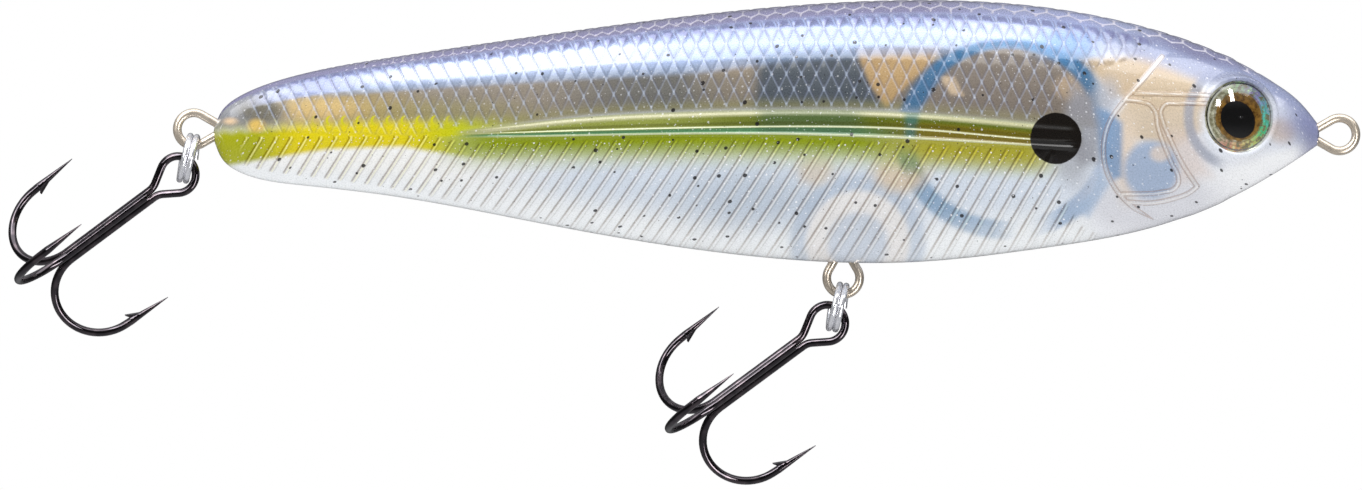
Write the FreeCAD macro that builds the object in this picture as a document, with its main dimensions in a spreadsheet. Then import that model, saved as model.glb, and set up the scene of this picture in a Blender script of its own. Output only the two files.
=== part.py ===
import FreeCAD, Part

import math
import os

import Sketcher

# A hard, one-piece fishing lure: a hollow body moulded in two halves, three wire eyes locked in its seam,
# four ballast and rattle pieces inside, and two treble hooks hung on split rings.
# Millimetres. The origin is the centre of the nose eye's ring; +X points forward, +Z up, and the lure's
# right side is -Y.

Vector = FreeCAD.Vector
Rotation = FreeCAD.Rotation
Placement = FreeCAD.Placement

ALONG_X = Vector(1, 0, 0)
ALONG_Y = Vector(0, 1, 0)
ALONG_Z = Vector(0, 0, 1)

# Driving sizes, in millimetres and degrees.
SIZES = {
    "wall": 1.6,
    "fit_gap": 0.02,
    # wire eyes: a ring outside the body, two legs through the seam and a smaller ring round a moulded post
    "hanger_wire": 1.0,
    "hanger_ring_radius": 1.87,
    "anchor_ring_radius": 1.6,
    "anchor_distance": 6.8,
    "leg_spacing": 1.1,
    "neck_radius": 1.0,
    "neck_flare": 30.0,
    "wire_end_gap": 0.15,
    # where the three outer rings stand
    "belly_eye_behind": 56.4,
    "belly_eye_below": 16.3,
    "tail_eye_behind": 130.2,
    "tail_eye_above": 0.6,
    # split rings: two turns of wire
    "split_wire": 0.7,
    "split_radius": 2.55,
    "split_pitch": 0.74,
    "split_tilt": 10.0,
    "split_drop": 0.83,
    # treble hooks
    "hook_wire": 0.92,
    "hook_eye_radius": 2.1,
    "hook_neck_radius": 2.0,
    "hook_neck_flare": 32.0,
    "hook_bend_radius": 5.15,
    "hook_bend_below_eye": 15.65,
    "hook_point_lean": 4.0,
    "hook_point_length": 5.9,
    "hook_cone_length": 5.0,
    "hook_tip_width": 0.08,
    "hook_single_end": 4.4,
    "barb_length": 1.9,
    "barb_height": 0.55,
    "barb_root": 0.25,
    "barb_thickness": 0.4,
    "hook_hang": 53.5,
    "hook_lean": 10.0,
    "hook_turn": -9.0,
    "seat_across": 0.85,
    "seat_along": 0.1,
    # eyes
    "eye_behind": 11.6,
    "eye_above": 2.0,
    "eye_out": 5.2,
    "eye_yaw": 17.0,
    "eye_radius": 4.0,
    "eye_socket_gap": 0.1,
    "eye_socket_depth": 0.95,
    "eye_rim_width": 0.45,
    "eye_rim_height": 0.15,
    "eye_cup_depth": 2.4,
    "eye_cup_top": 0.1,
    "socket_cutter_top": 5.0,
    "foil_thickness": 0.15,
    "dome_edge": 0.45,
    "dome_height": 1.6,
    # the round rattle chamber behind the gills and its rolling ball
    "chamber_behind": 37.8,
    "chamber_below": 0.6,
    "chamber_radius": 10.0,
    "chamber_wall": 1.9,
    "ball_radius": 4.2,
    "ball_gap": 0.1,
    # the arched rib and the solid post over the belly hanger
    "post_radius": 4.2,
    "arch_radius": 5.8,
    "arch_wall": 1.9,
    # ballast: one wall thickness for all the moulded cups
    "cup_wall": 1.0,
    # working blocks that are cut away or cut down: wider than the body, and one on each side of the seam
    "across_everything": 24.0,
    "block_length": 160.0,
    "block_behind": 145.0,
    "block_width": 20.0,
    "block_height": 50.0,
}

# Body sections from nose to tail: place along X, top, bottom, half width.
SECTIONS = [
    (-2.56, 1.30, -1.25, 1.05),
    (-4.5, 3.65, -2.60, 2.20),
    (-8.5, 6.50, -5.10, 4.00),
    (-14.0, 9.35, -7.95, 5.85),
    (-22.7, 12.30, -10.95, 7.85),
    (-34.0, 14.45, -12.95, 9.10),
    (-47.5, 15.20, -14.45, 9.50),
    (-68.0, 14.05, -13.70, 8.70),
    (-90.0, 11.30, -10.25, 6.80),
    (-108.0, 8.65, -6.95, 5.00),
    (-118.1, 6.80, -5.75, 3.95),
    (-123.8, 4.95, -4.75, 3.05),
    (-126.8, 2.95, -3.00, 1.95),
    (-127.7, 1.20, -1.20, 0.80),
]
FIRST_HOLLOW_SECTION = 3
LAST_HOLLOW_SECTION = 10

# Ballast cylinders lying across the seam: name, place along X, height, radius, length.
WEIGHTS = [
    ("head_ballast", -21.3, -3.0, 2.6, 9.0),
    ("middle_ballast", -73.0, -8.0, 3.4, 8.0),
    ("tail_ballast", -104.0, -3.0, 2.4, 5.0),
]

document = FreeCAD.newDocument("GlideBait")
sheet = document.addObject("Spreadsheet::Sheet", "Sizes")
parts = []


def fill_sheet():
    """Every driving size becomes a cell with its name as alias."""
    cells = dict(SIZES)
    for number, (along, top, bottom, half_width) in enumerate(SECTIONS):
        cells[f"section_place_{number}"] = along
        cells[f"section_top_{number}"] = top
        cells[f"section_bottom_{number}"] = bottom
        cells[f"section_half_width_{number}"] = half_width
    for name, along, height, radius, length in WEIGHTS:
        cells[name + "_place"] = along
        cells[name + "_height"] = height
        cells[name + "_radius"] = radius
        cells[name + "_length"] = length
    for row, (alias, value) in enumerate(cells.items(), start=1):
        sheet.set(f"A{row}", alias)
        sheet.set(f"B{row}", str(value))
        sheet.setAlias(f"B{row}", alias)
    document.recompute()


def cell(alias):
    return float(sheet.get(alias))


def bind(item, **expressions):
    """Tie properties of an object to the sheet; a dot in a property's name is written as two underscores."""
    for name, expression in expressions.items():
        item.setExpression(name.replace("__", "."), expression)
    return item


def keep(item, label):
    """Mark a finished object as a sub-part of the lure."""
    item.Label = label
    parts.append(item)
    return item


# ---------------------------------------------------------------- general helpers

def cylinder_across(name, along, height, radius, length):
    """A cylinder centred on the seam plane with its axis along Y; radius and length are expressions."""
    item = document.addObject("Part::Cylinder", name)
    bind(item, Radius=radius, Height=length)
    bind(item, Placement__Base__x=along, Placement__Base__z=height, Placement__Base__y=f"({length}) / 2")
    item.Placement.Rotation = Rotation(ALONG_X, 90)
    return item


def joined(name, shapes):
    item = document.addObject("Part::MultiFuse", name)
    item.Shapes = shapes
    return item


def common(name, base, tool):
    item = document.addObject("Part::Common", name)
    item.Base = base
    item.Tool = tool
    return item


def cut(name, base, tool):
    item = document.addObject("Part::Cut", name)
    item.Base = base
    item.Tool = tool
    return item


def new_body(name):
    return document.addObject("PartDesign::Body", name)


def origin_plane(body, role):
    return [feature for feature in body.Origin.OriginFeatures if feature.Role == role][0]


def sketch_on(body, name, role, offset=None):
    """A sketch on one of the body's own origin planes, moved by offset."""
    sketch = body.newObject("Sketcher::SketchObject", name)
    sketch.AttachmentSupport = [(origin_plane(body, role), "")]
    sketch.MapMode = "FlatFace"
    sketch.AttachmentOffset = offset or Placement()
    return sketch


def round_section(body, name, centre, height, radius):
    """The wire's round section, level, with its middle at centre and at the given height."""
    sketch = sketch_on(body, name, "XY_Plane", Placement(Vector(0, 0, height), Rotation()))
    circle = Part.Circle(Vector(centre[0], centre[1], 0), ALONG_Z, 1.0)
    sketch.addGeometry(circle)
    sketch.addConstraint(Sketcher.Constraint("Radius", 0, 1.0))
    sketch.renameConstraint(0, "wire_radius")
    bind(sketch, Constraints__wire_radius=radius)
    return sketch


def swept(body, name, path, section):
    """A round wire along a path sketch."""
    pipe = body.newObject("PartDesign::AdditivePipe", name)
    pipe.Profile = section
    pipe.Spine = (path, [])
    return pipe


def line(start, end):
    return Part.LineSegment(Vector(*start), Vector(*end))


def arc(start, middle, end):
    return Part.Arc(Vector(*start), Vector(*middle), Vector(*end))


def eye_path(ring_radius, half_gap, neck_radius, flare, upward=1.0, centre=0.0):
    """The bent wire of an eye, from its right foot round the ring to its left foot, and the feet's height.

    The ring stands above the feet when upward is 1 and below them when it is -1.
    """
    sine = math.sin(math.radians(flare))
    cosine = math.cos(math.radians(flare))
    touch = (ring_radius * cosine, -ring_radius * sine)
    neck_x = half_gap + neck_radius * (1 - cosine)
    straight = (touch[0] - neck_x) / sine
    neck_z = touch[1] - straight * cosine
    foot_z = neck_z - neck_radius * sine
    half = math.radians(flare / 2)
    middle_x = half_gap + neck_radius * (1 - math.cos(half))
    middle_z = foot_z + neck_radius * math.sin(half)

    def at(x, z):
        return (x, centre + upward * z, 0)

    edges = [
        arc(at(half_gap, foot_z), at(middle_x, middle_z), at(neck_x, neck_z)),
        line(at(neck_x, neck_z), at(*touch)),
        arc(at(*touch), at(0, ring_radius), at(-touch[0], touch[1])),
        line(at(-touch[0], touch[1]), at(-neck_x, neck_z)),
        arc(at(-neck_x, neck_z), at(-middle_x, middle_z), at(-half_gap, foot_z)),
    ]
    return edges, centre + upward * foot_z


# ---------------------------------------------------------------- wire eyes

def hanger(name, radius, placement):
    """A wire eye: outer ring round the origin, legs downward, a smaller ring that locks it in the body."""
    half_gap = cell("leg_spacing") / 2
    bend = (half_gap, cell("neck_radius"), cell("neck_flare"))
    outer, outer_foot = eye_path(cell("hanger_ring_radius"), *bend)
    inner, inner_foot = eye_path(cell("anchor_ring_radius"), *bend, upward=-1.0, centre=-cell("anchor_distance"))
    start = (outer_foot + inner_foot) / 2
    finish = start - cell("wire_end_gap")
    body = new_body(name)
    path = sketch_on(body, name + "_path", "XZ_Plane")
    path.addGeometry(line((half_gap, start, 0), (half_gap, outer_foot, 0)))
    path.addGeometry(outer)
    path.addGeometry(line((-half_gap, outer_foot, 0), (-half_gap, inner_foot, 0)))
    path.addGeometry(inner)
    path.addGeometry(line((half_gap, inner_foot, 0), (half_gap, finish, 0)))
    section = round_section(body, name + "_section", (half_gap, 0), start, radius)
    swept(body, name + "_wire", path, section)
    body.Placement = placement
    return body


def hanger_places():
    """Where the three wire eyes stand; each one's legs run from its ring into the body."""
    belly = Vector(-cell("belly_eye_behind"), 0, -cell("belly_eye_below"))
    tail = Vector(-cell("tail_eye_behind"), 0, cell("tail_eye_above"))
    return {
        "nose_line_tie": Placement(Vector(0, 0, 0), Rotation(ALONG_Y, 90)),
        "belly_hook_hanger": Placement(belly, Rotation(ALONG_Y, 180)),
        "tail_hook_hanger": Placement(tail, Rotation(ALONG_Y, -90)),
    }


def wire_eyes():
    for name, placement in hanger_places().items():
        keep(hanger(name, "Sizes.hanger_wire / 2", placement), name)


# ---------------------------------------------------------------- split rings and treble hooks

def split_ring_place(eye_centre):
    """Hung on the bottom of a hanger's ring, its lower edge tilted toward the tail."""
    turn = Rotation(ALONG_Y, cell("split_tilt")).multiply(Rotation(Vector(1, 1, 1), 120))
    top = eye_centre - Vector(0, 0, cell("split_drop"))
    top_in_ring = Vector(0, cell("split_radius"), 1.25 * cell("split_pitch"))
    return Placement(top - turn.multVec(top_in_ring), turn)


def split_ring(name, eye_centre):
    body = new_body(name)
    section = sketch_on(body, name + "_section", "XZ_Plane")
    section.addGeometry(Part.Circle(Vector(cell("split_radius"), 0, 0), ALONG_Z, 0.3))
    section.addConstraint(Sketcher.Constraint("Radius", 0, 0.3))
    section.renameConstraint(0, "wire_radius")
    bind(section, Constraints__wire_radius="Sizes.split_wire / 2")
    coil = body.newObject("PartDesign::AdditiveHelix", name + "_coil")
    coil.Profile = section
    coil.ReferenceAxis = (section, ["V_Axis"])
    coil.Mode = 0
    coil.LeftHanded = True
    bind(coil, Pitch="Sizes.split_pitch", Height="2 * Sizes.split_pitch")
    body.Placement = split_ring_place(eye_centre)
    return keep(body, name)


def hook_seat(eye_centre):
    """The middle of the split ring's lowest two turns, where the hook's eye hangs."""
    lowest = Vector(0, -cell("split_radius"), 0.75 * cell("split_pitch"))
    return split_ring_place(eye_centre).multVec(lowest)


def hook_place(eye_centre):
    """The hook trails toward the tail with its points up, leaning a little to the left side."""
    turn = Rotation(ALONG_Y, cell("hook_hang"))
    turn = turn.multiply(Rotation(ALONG_X, cell("hook_lean"))).multiply(Rotation(ALONG_Z, cell("hook_turn")))
    seat_in_hook = Vector(cell("seat_across"), shank_offset() / 2, cell("seat_along"))
    return Placement(hook_seat(eye_centre) - turn.multVec(seat_in_hook), turn)


def shank_offset():
    """Distance of each of the three brazed shank wires from the hook's axis."""
    return (cell("hook_wire") + cell("fit_gap")) / math.sqrt(3)


def hook_arm(body, name, angle, top):
    """One shank wire, its round bend, its tapered point and its barb, in the plane at angle to the axis.

    Within that plane x runs outward from the hook's axis and y up it.
    """
    outward = Placement(Vector(0, 0, 0), Rotation(ALONG_Y, angle))
    around = Rotation(ALONG_Z, angle)
    near = shank_offset()
    bend_radius = cell("hook_bend_radius")
    bend_y = -cell("hook_bend_below_eye")
    lean = math.radians(cell("hook_point_lean"))
    point_run = Vector(math.sin(lean), math.cos(lean), 0)
    inward = Vector(-point_run.y, point_run.x, 0)
    centre = Vector(near + bend_radius, bend_y, 0)
    bend_end = centre - inward * bend_radius
    cone_base = bend_end + point_run * (cell("hook_point_length") - cell("hook_cone_length"))
    path = sketch_on(body, name + "_path", "XZ_Plane", outward)
    path.addGeometry(line((near, top, 0), (near, bend_y, 0)))
    path.addGeometry(arc((near, bend_y, 0), (centre.x, bend_y - bend_radius, 0), tuple(bend_end)))
    path.addGeometry(line(tuple(bend_end), tuple(cone_base)))
    spot = around.multVec(Vector(near, 0, 0))
    section = round_section(body, name + "_section", (spot.x, spot.y), top, "Sizes.hook_wire / 2")
    swept(body, name + "_wire", path, section)

    foot = around.multVec(Vector(cone_base.x, 0, cone_base.y))
    cone = body.newObject("PartDesign::AdditiveCone", name + "_point")
    cone.AttachmentSupport = [(origin_plane(body, "XY_Plane"), "")]
    cone.MapMode = "FlatFace"
    cone.AttachmentOffset = Placement(foot, around.multiply(Rotation(ALONG_Y, cell("hook_point_lean"))))
    bind(cone, Radius1="Sizes.hook_wire / 2", Radius2="Sizes.hook_tip_width / 2", Height="Sizes.hook_cone_length")

    root = cone_base + point_run * cell("barb_root") + inward * (cell("hook_wire") / 4)
    barb_tip = cone_base + inward * (cell("hook_wire") / 2 + cell("barb_height")) - point_run * cell("barb_root")
    barb_top = cone_base + point_run * cell("barb_length")
    side = sketch_on(body, name + "_barb_side", "XZ_Plane", outward)
    side.addGeometry(line(tuple(root), tuple(barb_tip)))
    side.addGeometry(line(tuple(barb_tip), tuple(barb_top)))
    side.addGeometry(line(tuple(barb_top), tuple(root)))
    barb = body.newObject("PartDesign::Pad", name + "_barb")
    barb.Profile = side
    barb.Midplane = True
    bind(barb, Length="Sizes.barb_thickness")


def treble_double(name, placement):
    """The eyed two-point wire of a treble: one length of wire bent into both arms and the eye."""
    body = new_body(name)
    near = shank_offset()
    half_gap = near * math.cos(math.radians(30))
    side = near * math.sin(math.radians(30))
    bend = (cell("hook_neck_radius"), cell("hook_neck_flare"))
    edges, foot = eye_path(cell("hook_eye_radius"), half_gap, *bend)
    eye = sketch_on(body, name + "_eye_path", "XZ_Plane", Placement(Vector(0, 0, -side), Rotation()))
    eye.addGeometry(edges)
    section = round_section(body, name + "_eye_section", (half_gap, side), foot, "Sizes.hook_wire / 2")
    swept(body, name + "_eye", eye, section)
    hook_arm(body, name + "_right_arm", 30, foot)
    hook_arm(body, name + "_left_arm", 150, foot)
    body.Placement = placement
    return keep(body, name)


def treble_single(name, placement):
    """The third point of a treble, brazed along the other two shanks."""
    body = new_body(name)
    hook_arm(body, name + "_arm", -90, -cell("hook_single_end"))
    body.Placement = placement
    return keep(body, name)


def rings_and_hooks():
    places = hanger_places()
    for end in ("belly", "tail"):
        eye_centre = places[end + "_hook_hanger"].Base
        split_ring(end + "_split_ring", eye_centre)
        treble_double(end + "_treble_double", hook_place(eye_centre))
        treble_single(end + "_treble_single", hook_place(eye_centre))


# ---------------------------------------------------------------- eyes

def eye_place(side):
    """The middle of an eye on the body's skin, with Z pointing out of it. side is -1 on the right."""
    centre = Vector(-cell("eye_behind"), side * cell("eye_out"), cell("eye_above"))
    outward = Rotation(ALONG_Z, -side * cell("eye_yaw")).multiply(Rotation(ALONG_X, -side * 90))
    return Placement(centre, outward)


def eye_cylinder(name, side, radius, low, high):
    """A cylinder on an eye's axis between two depths; all three are expressions."""
    item = document.addObject("Part::Cylinder", name)
    bind(item, Radius=radius, Height=f"({high}) - ({low})")
    document.recompute()
    place = eye_place(side)
    depth = float(item.evalExpression(low))
    item.Placement = Placement(place.multVec(Vector(0, 0, depth)), place.Rotation)
    return item


def foil_disc(name, side):
    """The printed foil at the bottom of the eye socket."""
    floor = "Sizes.fit_gap - Sizes.eye_socket_depth"
    return keep(eye_cylinder(name, side, "Sizes.eye_radius", floor, floor + " + Sizes.foil_thickness"), name)


def eye_dome(name, side):
    """The clear domed lens over the foil."""
    body = new_body(name)
    radius = cell("eye_radius")
    edge = cell("dome_edge")
    height = cell("dome_height")
    rise = height - edge
    curve = (radius ** 2 + rise ** 2) / (2 * rise)
    half_turn = math.asin(radius / curve) / 2
    middle = (curve * math.sin(half_turn), height - curve * (1 - math.cos(half_turn)), 0)
    outline = sketch_on(body, name + "_outline", "XZ_Plane")
    outline.addGeometry(line((0, 0, 0), (radius, 0, 0)))
    outline.addGeometry(line((radius, 0, 0), (radius, edge, 0)))
    outline.addGeometry(arc((radius, edge, 0), middle, (0, height, 0)))
    outline.addGeometry(line((0, height, 0), (0, 0, 0)))
    turned = body.newObject("PartDesign::Revolution", name + "_turned")
    turned.Profile = outline
    turned.ReferenceAxis = (outline, ["V_Axis"])
    turned.Angle = 360
    seat = 2 * cell("fit_gap") + cell("foil_thickness") - cell("eye_socket_depth")
    place = eye_place(side)
    body.Placement = Placement(place.multVec(Vector(0, 0, seat)), place.Rotation)
    return keep(body, name)


def eyes():
    for word, side in (("right", -1), ("left", 1)):
        foil_disc(word + "_eye_foil", side)
        eye_dome(word + "_eye_dome", side)


# ---------------------------------------------------------------- ballast and rattle

def ballast():
    for name, *_ in WEIGHTS:
        place = (f"Sizes.{name}_place", f"Sizes.{name}_height")
        item = cylinder_across(name + "_weight", *place, f"Sizes.{name}_radius", f"Sizes.{name}_length")
        keep(item, name + "_weight")


def rattle_ball():
    """A steel ball resting at the bottom of the round chamber."""
    ball = document.addObject("Part::Sphere", "rattle_ball")
    bind(
        ball,
        Radius="Sizes.ball_radius",
        Placement__Base__x="-Sizes.chamber_behind",
        Placement__Base__z="Sizes.ball_radius + Sizes.ball_gap - Sizes.chamber_radius - Sizes.chamber_below",
    )
    keep(ball, "rattle_ball")


# ---------------------------------------------------------------- body

def section_ellipse(name, number, inset):
    """An upright ellipse of the body's section; inset is how far it lies inside the skin."""
    item = document.addObject("Part::Ellipse", name)
    top = f"Sizes.section_top_{number}"
    bottom = f"Sizes.section_bottom_{number}"
    bind(
        item,
        MajorRadius=f"({top} - {bottom}) / 2 - {inset}",
        MinorRadius=f"Sizes.section_half_width_{number} - {inset}",
        Placement__Base__x=f"Sizes.section_place_{number}",
        Placement__Base__z=f"({top} + {bottom}) / 2",
    )
    item.Placement.Rotation = Rotation(ALONG_Y, -90)
    return item


def loft(name, first, last, inset):
    item = document.addObject("Part::Loft", name)
    item.Sections = [section_ellipse(f"{name}_{number}", number, inset) for number in range(first, last + 1)]
    item.Solid = True
    return item


def moulded_ribs():
    """The chamber's ring wall, the arch and post over the belly hanger, and the cups of the weights."""
    span = "Sizes.across_everything"
    chamber = ("-Sizes.chamber_behind", "-Sizes.chamber_below")
    anchor_height = "-Sizes.belly_eye_below + Sizes.anchor_distance"
    arch = ("-Sizes.belly_eye_behind", anchor_height)
    rings = [
        cut(
            "chamber_ring",
            cylinder_across("chamber_outside", *chamber, "Sizes.chamber_radius + Sizes.chamber_wall", span),
            cylinder_across("chamber_inside", *chamber, "Sizes.chamber_radius", span),
        ),
        cut(
            "hanger_arch",
            cylinder_across("arch_outside", *arch, "Sizes.arch_radius + Sizes.arch_wall", span),
            cylinder_across("arch_inside", *arch, "Sizes.arch_radius", span),
        ),
        cylinder_across("hanger_post", *arch, "Sizes.post_radius", span),
    ]
    for name, *_ in WEIGHTS:
        place = (f"Sizes.{name}_place", f"Sizes.{name}_height")
        rings.append(cylinder_across(name + "_cup", *place, f"Sizes.{name}_radius + Sizes.cup_wall", span))
    for word, side in (("right", -1), ("left", 1)):
        rings.append(eye_cylinder(word + "_eye_cup", side, outer_rim(), "-Sizes.eye_cup_depth", "Sizes.eye_cup_top"))
    return joined("moulded_ribs", rings)


def outer_rim():
    return "Sizes.eye_radius + Sizes.eye_socket_gap + Sizes.eye_rim_width"


def eye_rims():
    """The raised lips round the two eye sockets."""
    rims = []
    for word, side in (("right", -1), ("left", 1)):
        low = "-Sizes.eye_socket_depth"
        rims.append(eye_cylinder(word + "_eye_rim", side, outer_rim(), low, "Sizes.eye_rim_height"))
    return rims


def pockets():
    """Everything that the two halves leave room for: wires, weights and eye sockets."""
    tools = []
    for name, placement in hanger_places().items():
        tools.append(hanger(name + "_groove", "Sizes.hanger_wire / 2 + Sizes.fit_gap", placement))
    for name, *_ in WEIGHTS:
        place = (f"Sizes.{name}_place", f"Sizes.{name}_height")
        radius = f"Sizes.{name}_radius + Sizes.fit_gap"
        length = f"Sizes.{name}_length + 2 * Sizes.fit_gap"
        tools.append(cylinder_across(name + "_pocket", *place, radius, length))
    for word, side in (("right", -1), ("left", 1)):
        radius = "Sizes.eye_radius + Sizes.eye_socket_gap"
        depth = "-Sizes.eye_socket_depth"
        tools.append(eye_cylinder(word + "_eye_socket", side, radius, depth, "Sizes.socket_cutter_top"))
    return joined("pockets", tools)


def half_space(name, side):
    """A block that covers everything on one side of the seam plane."""
    block = document.addObject("Part::Box", name)
    bind(block, Length="Sizes.block_length", Width="Sizes.block_width", Height="Sizes.block_height")
    corner = Vector(-cell("block_behind"), min(0, side * cell("block_width")), -cell("block_height") / 2)
    block.Placement.Base = corner
    return block


def body_halves():
    """The hollow body with its ribs and pockets, parted along the seam plane."""
    hull = loft("hull", 0, len(SECTIONS) - 1, "0")
    hollow = loft("hollow", FIRST_HOLLOW_SECTION, LAST_HOLLOW_SECTION, "Sizes.wall")
    ribs = common("ribs_inside", hull, moulded_ribs())
    skin = cut("skin", hull, hollow)
    whole = joined("whole_body", [skin, ribs] + eye_rims())
    hollowed = cut("body_with_pockets", whole, pockets())
    for word, side in (("right", -1), ("left", 1)):
        keep(common(word + "_body_shell", hollowed, half_space(word + "_space", side)), word + "_body_shell")


# ---------------------------------------------------------------- build

def check(item):
    shape = item.Shape
    if shape.isNull() or not shape.isValid():
        raise RuntimeError(f"{item.Label} has no valid shape")


def main():
    fill_sheet()
    wire_eyes()
    rings_and_hooks()
    eyes()
    ballast()
    rattle_ball()
    body_halves()
    document.recompute()
    for item in document.Objects:
        if "Invalid" in item.State or "Error" in item.State:
            raise RuntimeError(f"{item.Label} failed: {item.State}")
    os.makedirs("parts", exist_ok=True)
    for item in parts:
        check(item)
        item.Shape.exportStep(f"parts/{item.Label}.step")
        box = item.Shape.BoundBox
        print(f"{item.Label:24s} {item.Shape.Volume:9.2f} mm3, x {box.XMin:.1f} to {box.XMax:.1f}")
    for end in ("belly", "tail"):
        eye_centre = hanger_places()[end + "_hook_hanger"].Base
        ring_pivot = eye_centre - Vector(0, 0, cell("hanger_ring_radius"))
        print(end, "split ring turns about X at", ring_pivot, "and the hook about Y at", hook_seat(eye_centre))


main()
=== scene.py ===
import math

import bpy
import numpy as np
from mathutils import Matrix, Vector


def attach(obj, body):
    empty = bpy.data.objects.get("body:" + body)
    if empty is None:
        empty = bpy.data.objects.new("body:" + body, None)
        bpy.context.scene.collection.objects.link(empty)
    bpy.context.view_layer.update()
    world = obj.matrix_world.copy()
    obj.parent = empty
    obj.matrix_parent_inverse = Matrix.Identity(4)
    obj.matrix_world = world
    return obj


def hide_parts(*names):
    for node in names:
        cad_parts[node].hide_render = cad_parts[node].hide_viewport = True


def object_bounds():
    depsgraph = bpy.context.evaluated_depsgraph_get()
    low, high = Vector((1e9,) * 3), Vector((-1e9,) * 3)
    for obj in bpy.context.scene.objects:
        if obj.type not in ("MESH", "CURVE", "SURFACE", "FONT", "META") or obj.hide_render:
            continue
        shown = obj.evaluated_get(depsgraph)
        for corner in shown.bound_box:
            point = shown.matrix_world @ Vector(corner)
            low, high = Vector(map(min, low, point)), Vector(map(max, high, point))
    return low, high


# The looks of a hard fishing lure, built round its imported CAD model.
# Each half of the body becomes a finely modelled skin with a side rib, a gill cover, scales and raised lines,
# and every CAD piece that keeps its own shape gets a material. Sizes here are millimetres in the CAD model's
# axes and become metres where the meshes, lamps and camera are made. The origin is the middle of the nose
# eye, +X is forward, +Z is up, and the lure's right side is at -Y.

MM = 0.001
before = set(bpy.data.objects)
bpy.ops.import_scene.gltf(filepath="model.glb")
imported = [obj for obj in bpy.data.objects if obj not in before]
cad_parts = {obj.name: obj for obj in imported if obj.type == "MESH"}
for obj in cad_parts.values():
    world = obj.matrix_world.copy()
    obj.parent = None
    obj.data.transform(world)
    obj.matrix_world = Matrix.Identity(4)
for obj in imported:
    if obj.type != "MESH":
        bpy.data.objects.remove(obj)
cad_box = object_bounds()


# ---------------------------------------------------------------- plain maths

def spline(knots, values, where):
    """A natural cubic spline through values, one row for each knot, read at where."""
    knots = np.asarray(knots, float)
    values = np.asarray(values, float)
    steps = np.diff(knots)
    last = len(knots) - 1
    slopes = (np.diff(values, axis=0).T / steps).T
    system = np.eye(last + 1)
    bends = np.zeros_like(values)
    for i in range(1, last):
        system[i, i - 1:i + 2] = steps[i - 1], 2 * (steps[i - 1] + steps[i]), steps[i]
        bends[i] = 6 * (slopes[i] - slopes[i - 1])
    bends = np.linalg.solve(system, bends)
    cell = np.clip(np.searchsorted(knots, where) - 1, 0, last - 1)
    step = steps[cell]
    after = (where - knots[cell]) / step
    before = 1 - after
    if values.ndim > 1:
        step, after, before = step[:, None], after[:, None], before[:, None]
    straight = before * values[cell] + after * values[cell + 1]
    curved = (before ** 3 - before) * bends[cell] + (after ** 3 - after) * bends[cell + 1]
    return straight + curved * step ** 2 / 6


def curve_through(points, where):
    """The height at each place of where, on a smooth curve through (place, height) points."""
    points = np.array(sorted(points))
    return spline(points[:, 0], points[:, 1], np.clip(where, points[0, 0], points[-1, 0]))


def smooth(low, high, value):
    """0 up to low, 1 from high on, and an S-shaped step between."""
    t = np.clip((value - low) / (high - low), 0, 1)
    return t * t * (3 - 2 * t)


def rounded(points, lengths, where):
    """A path through points that bends only near them, each stretch in line with its neighbours."""
    slopes = np.gradient(points, lengths, axis=0)
    cell = np.clip(np.searchsorted(lengths, where) - 1, 0, len(lengths) - 2)
    step = (lengths[cell + 1] - lengths[cell])[:, None]
    t = (where - lengths[cell])[:, None] / step
    start = (1 + 2 * t) * (1 - t) ** 2 * points[cell] + t * (1 - t) ** 2 * step * slopes[cell]
    end = t * t * (3 - 2 * t) * points[cell + 1] + t * t * (t - 1) * step * slopes[cell + 1]
    return start + end


def off_stretch(x, z, start, end):
    """How far each place is from a straight stretch."""
    run, rise = end[0] - start[0], end[1] - start[1]
    along = np.clip(((x - start[0]) * run + (z - start[1]) * rise) / (run ** 2 + rise ** 2), 0, 1)
    return np.hypot(x - start[0] - along * run, z - start[1] - along * rise)


def path_distance(x, z, points, dense=160):
    """How far each place is from a smooth open path through a few points."""
    points = np.asarray(points, float)
    lengths = np.concatenate([[0], np.cumsum(np.hypot(*np.diff(points, axis=0).T))])
    path = rounded(points, lengths, np.linspace(0, lengths[-1], dense))
    near = np.full(x.shape, 1e3)
    for start, end in zip(path[:-1], path[1:]):
        near = np.minimum(near, off_stretch(x, z, start, end))
    return near


def in_oval(x, z, centre, radii, soft):
    """1 inside an upright oval, 0 outside it, with an edge this soft."""
    reach = np.hypot((x - centre[0]) / radii[0], (z - centre[1]) / radii[1])
    return 1 - smooth(-soft, soft, (reach - 1) * np.minimum(*radii))


def in_outline(x, z, points, soft):
    """1 inside a straight-sided outline, 0 outside it, with an edge this soft."""
    inside = np.zeros(x.shape, bool)
    near = np.full(x.shape, 1e3)
    for (x0, z0), (x1, z1) in zip(points, points[1:] + points[:1]):
        near = np.minimum(near, off_stretch(x, z, (x0, z0), (x1, z1)))
        if z0 != z1:
            inside ^= ((z0 > z) != (z1 > z)) & (x < x0 + (x1 - x0) * (z - z0) / (z1 - z0))
    return smooth(-soft, soft, np.where(inside, near, -near))


# ---------------------------------------------------------------- the body's plain form

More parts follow.
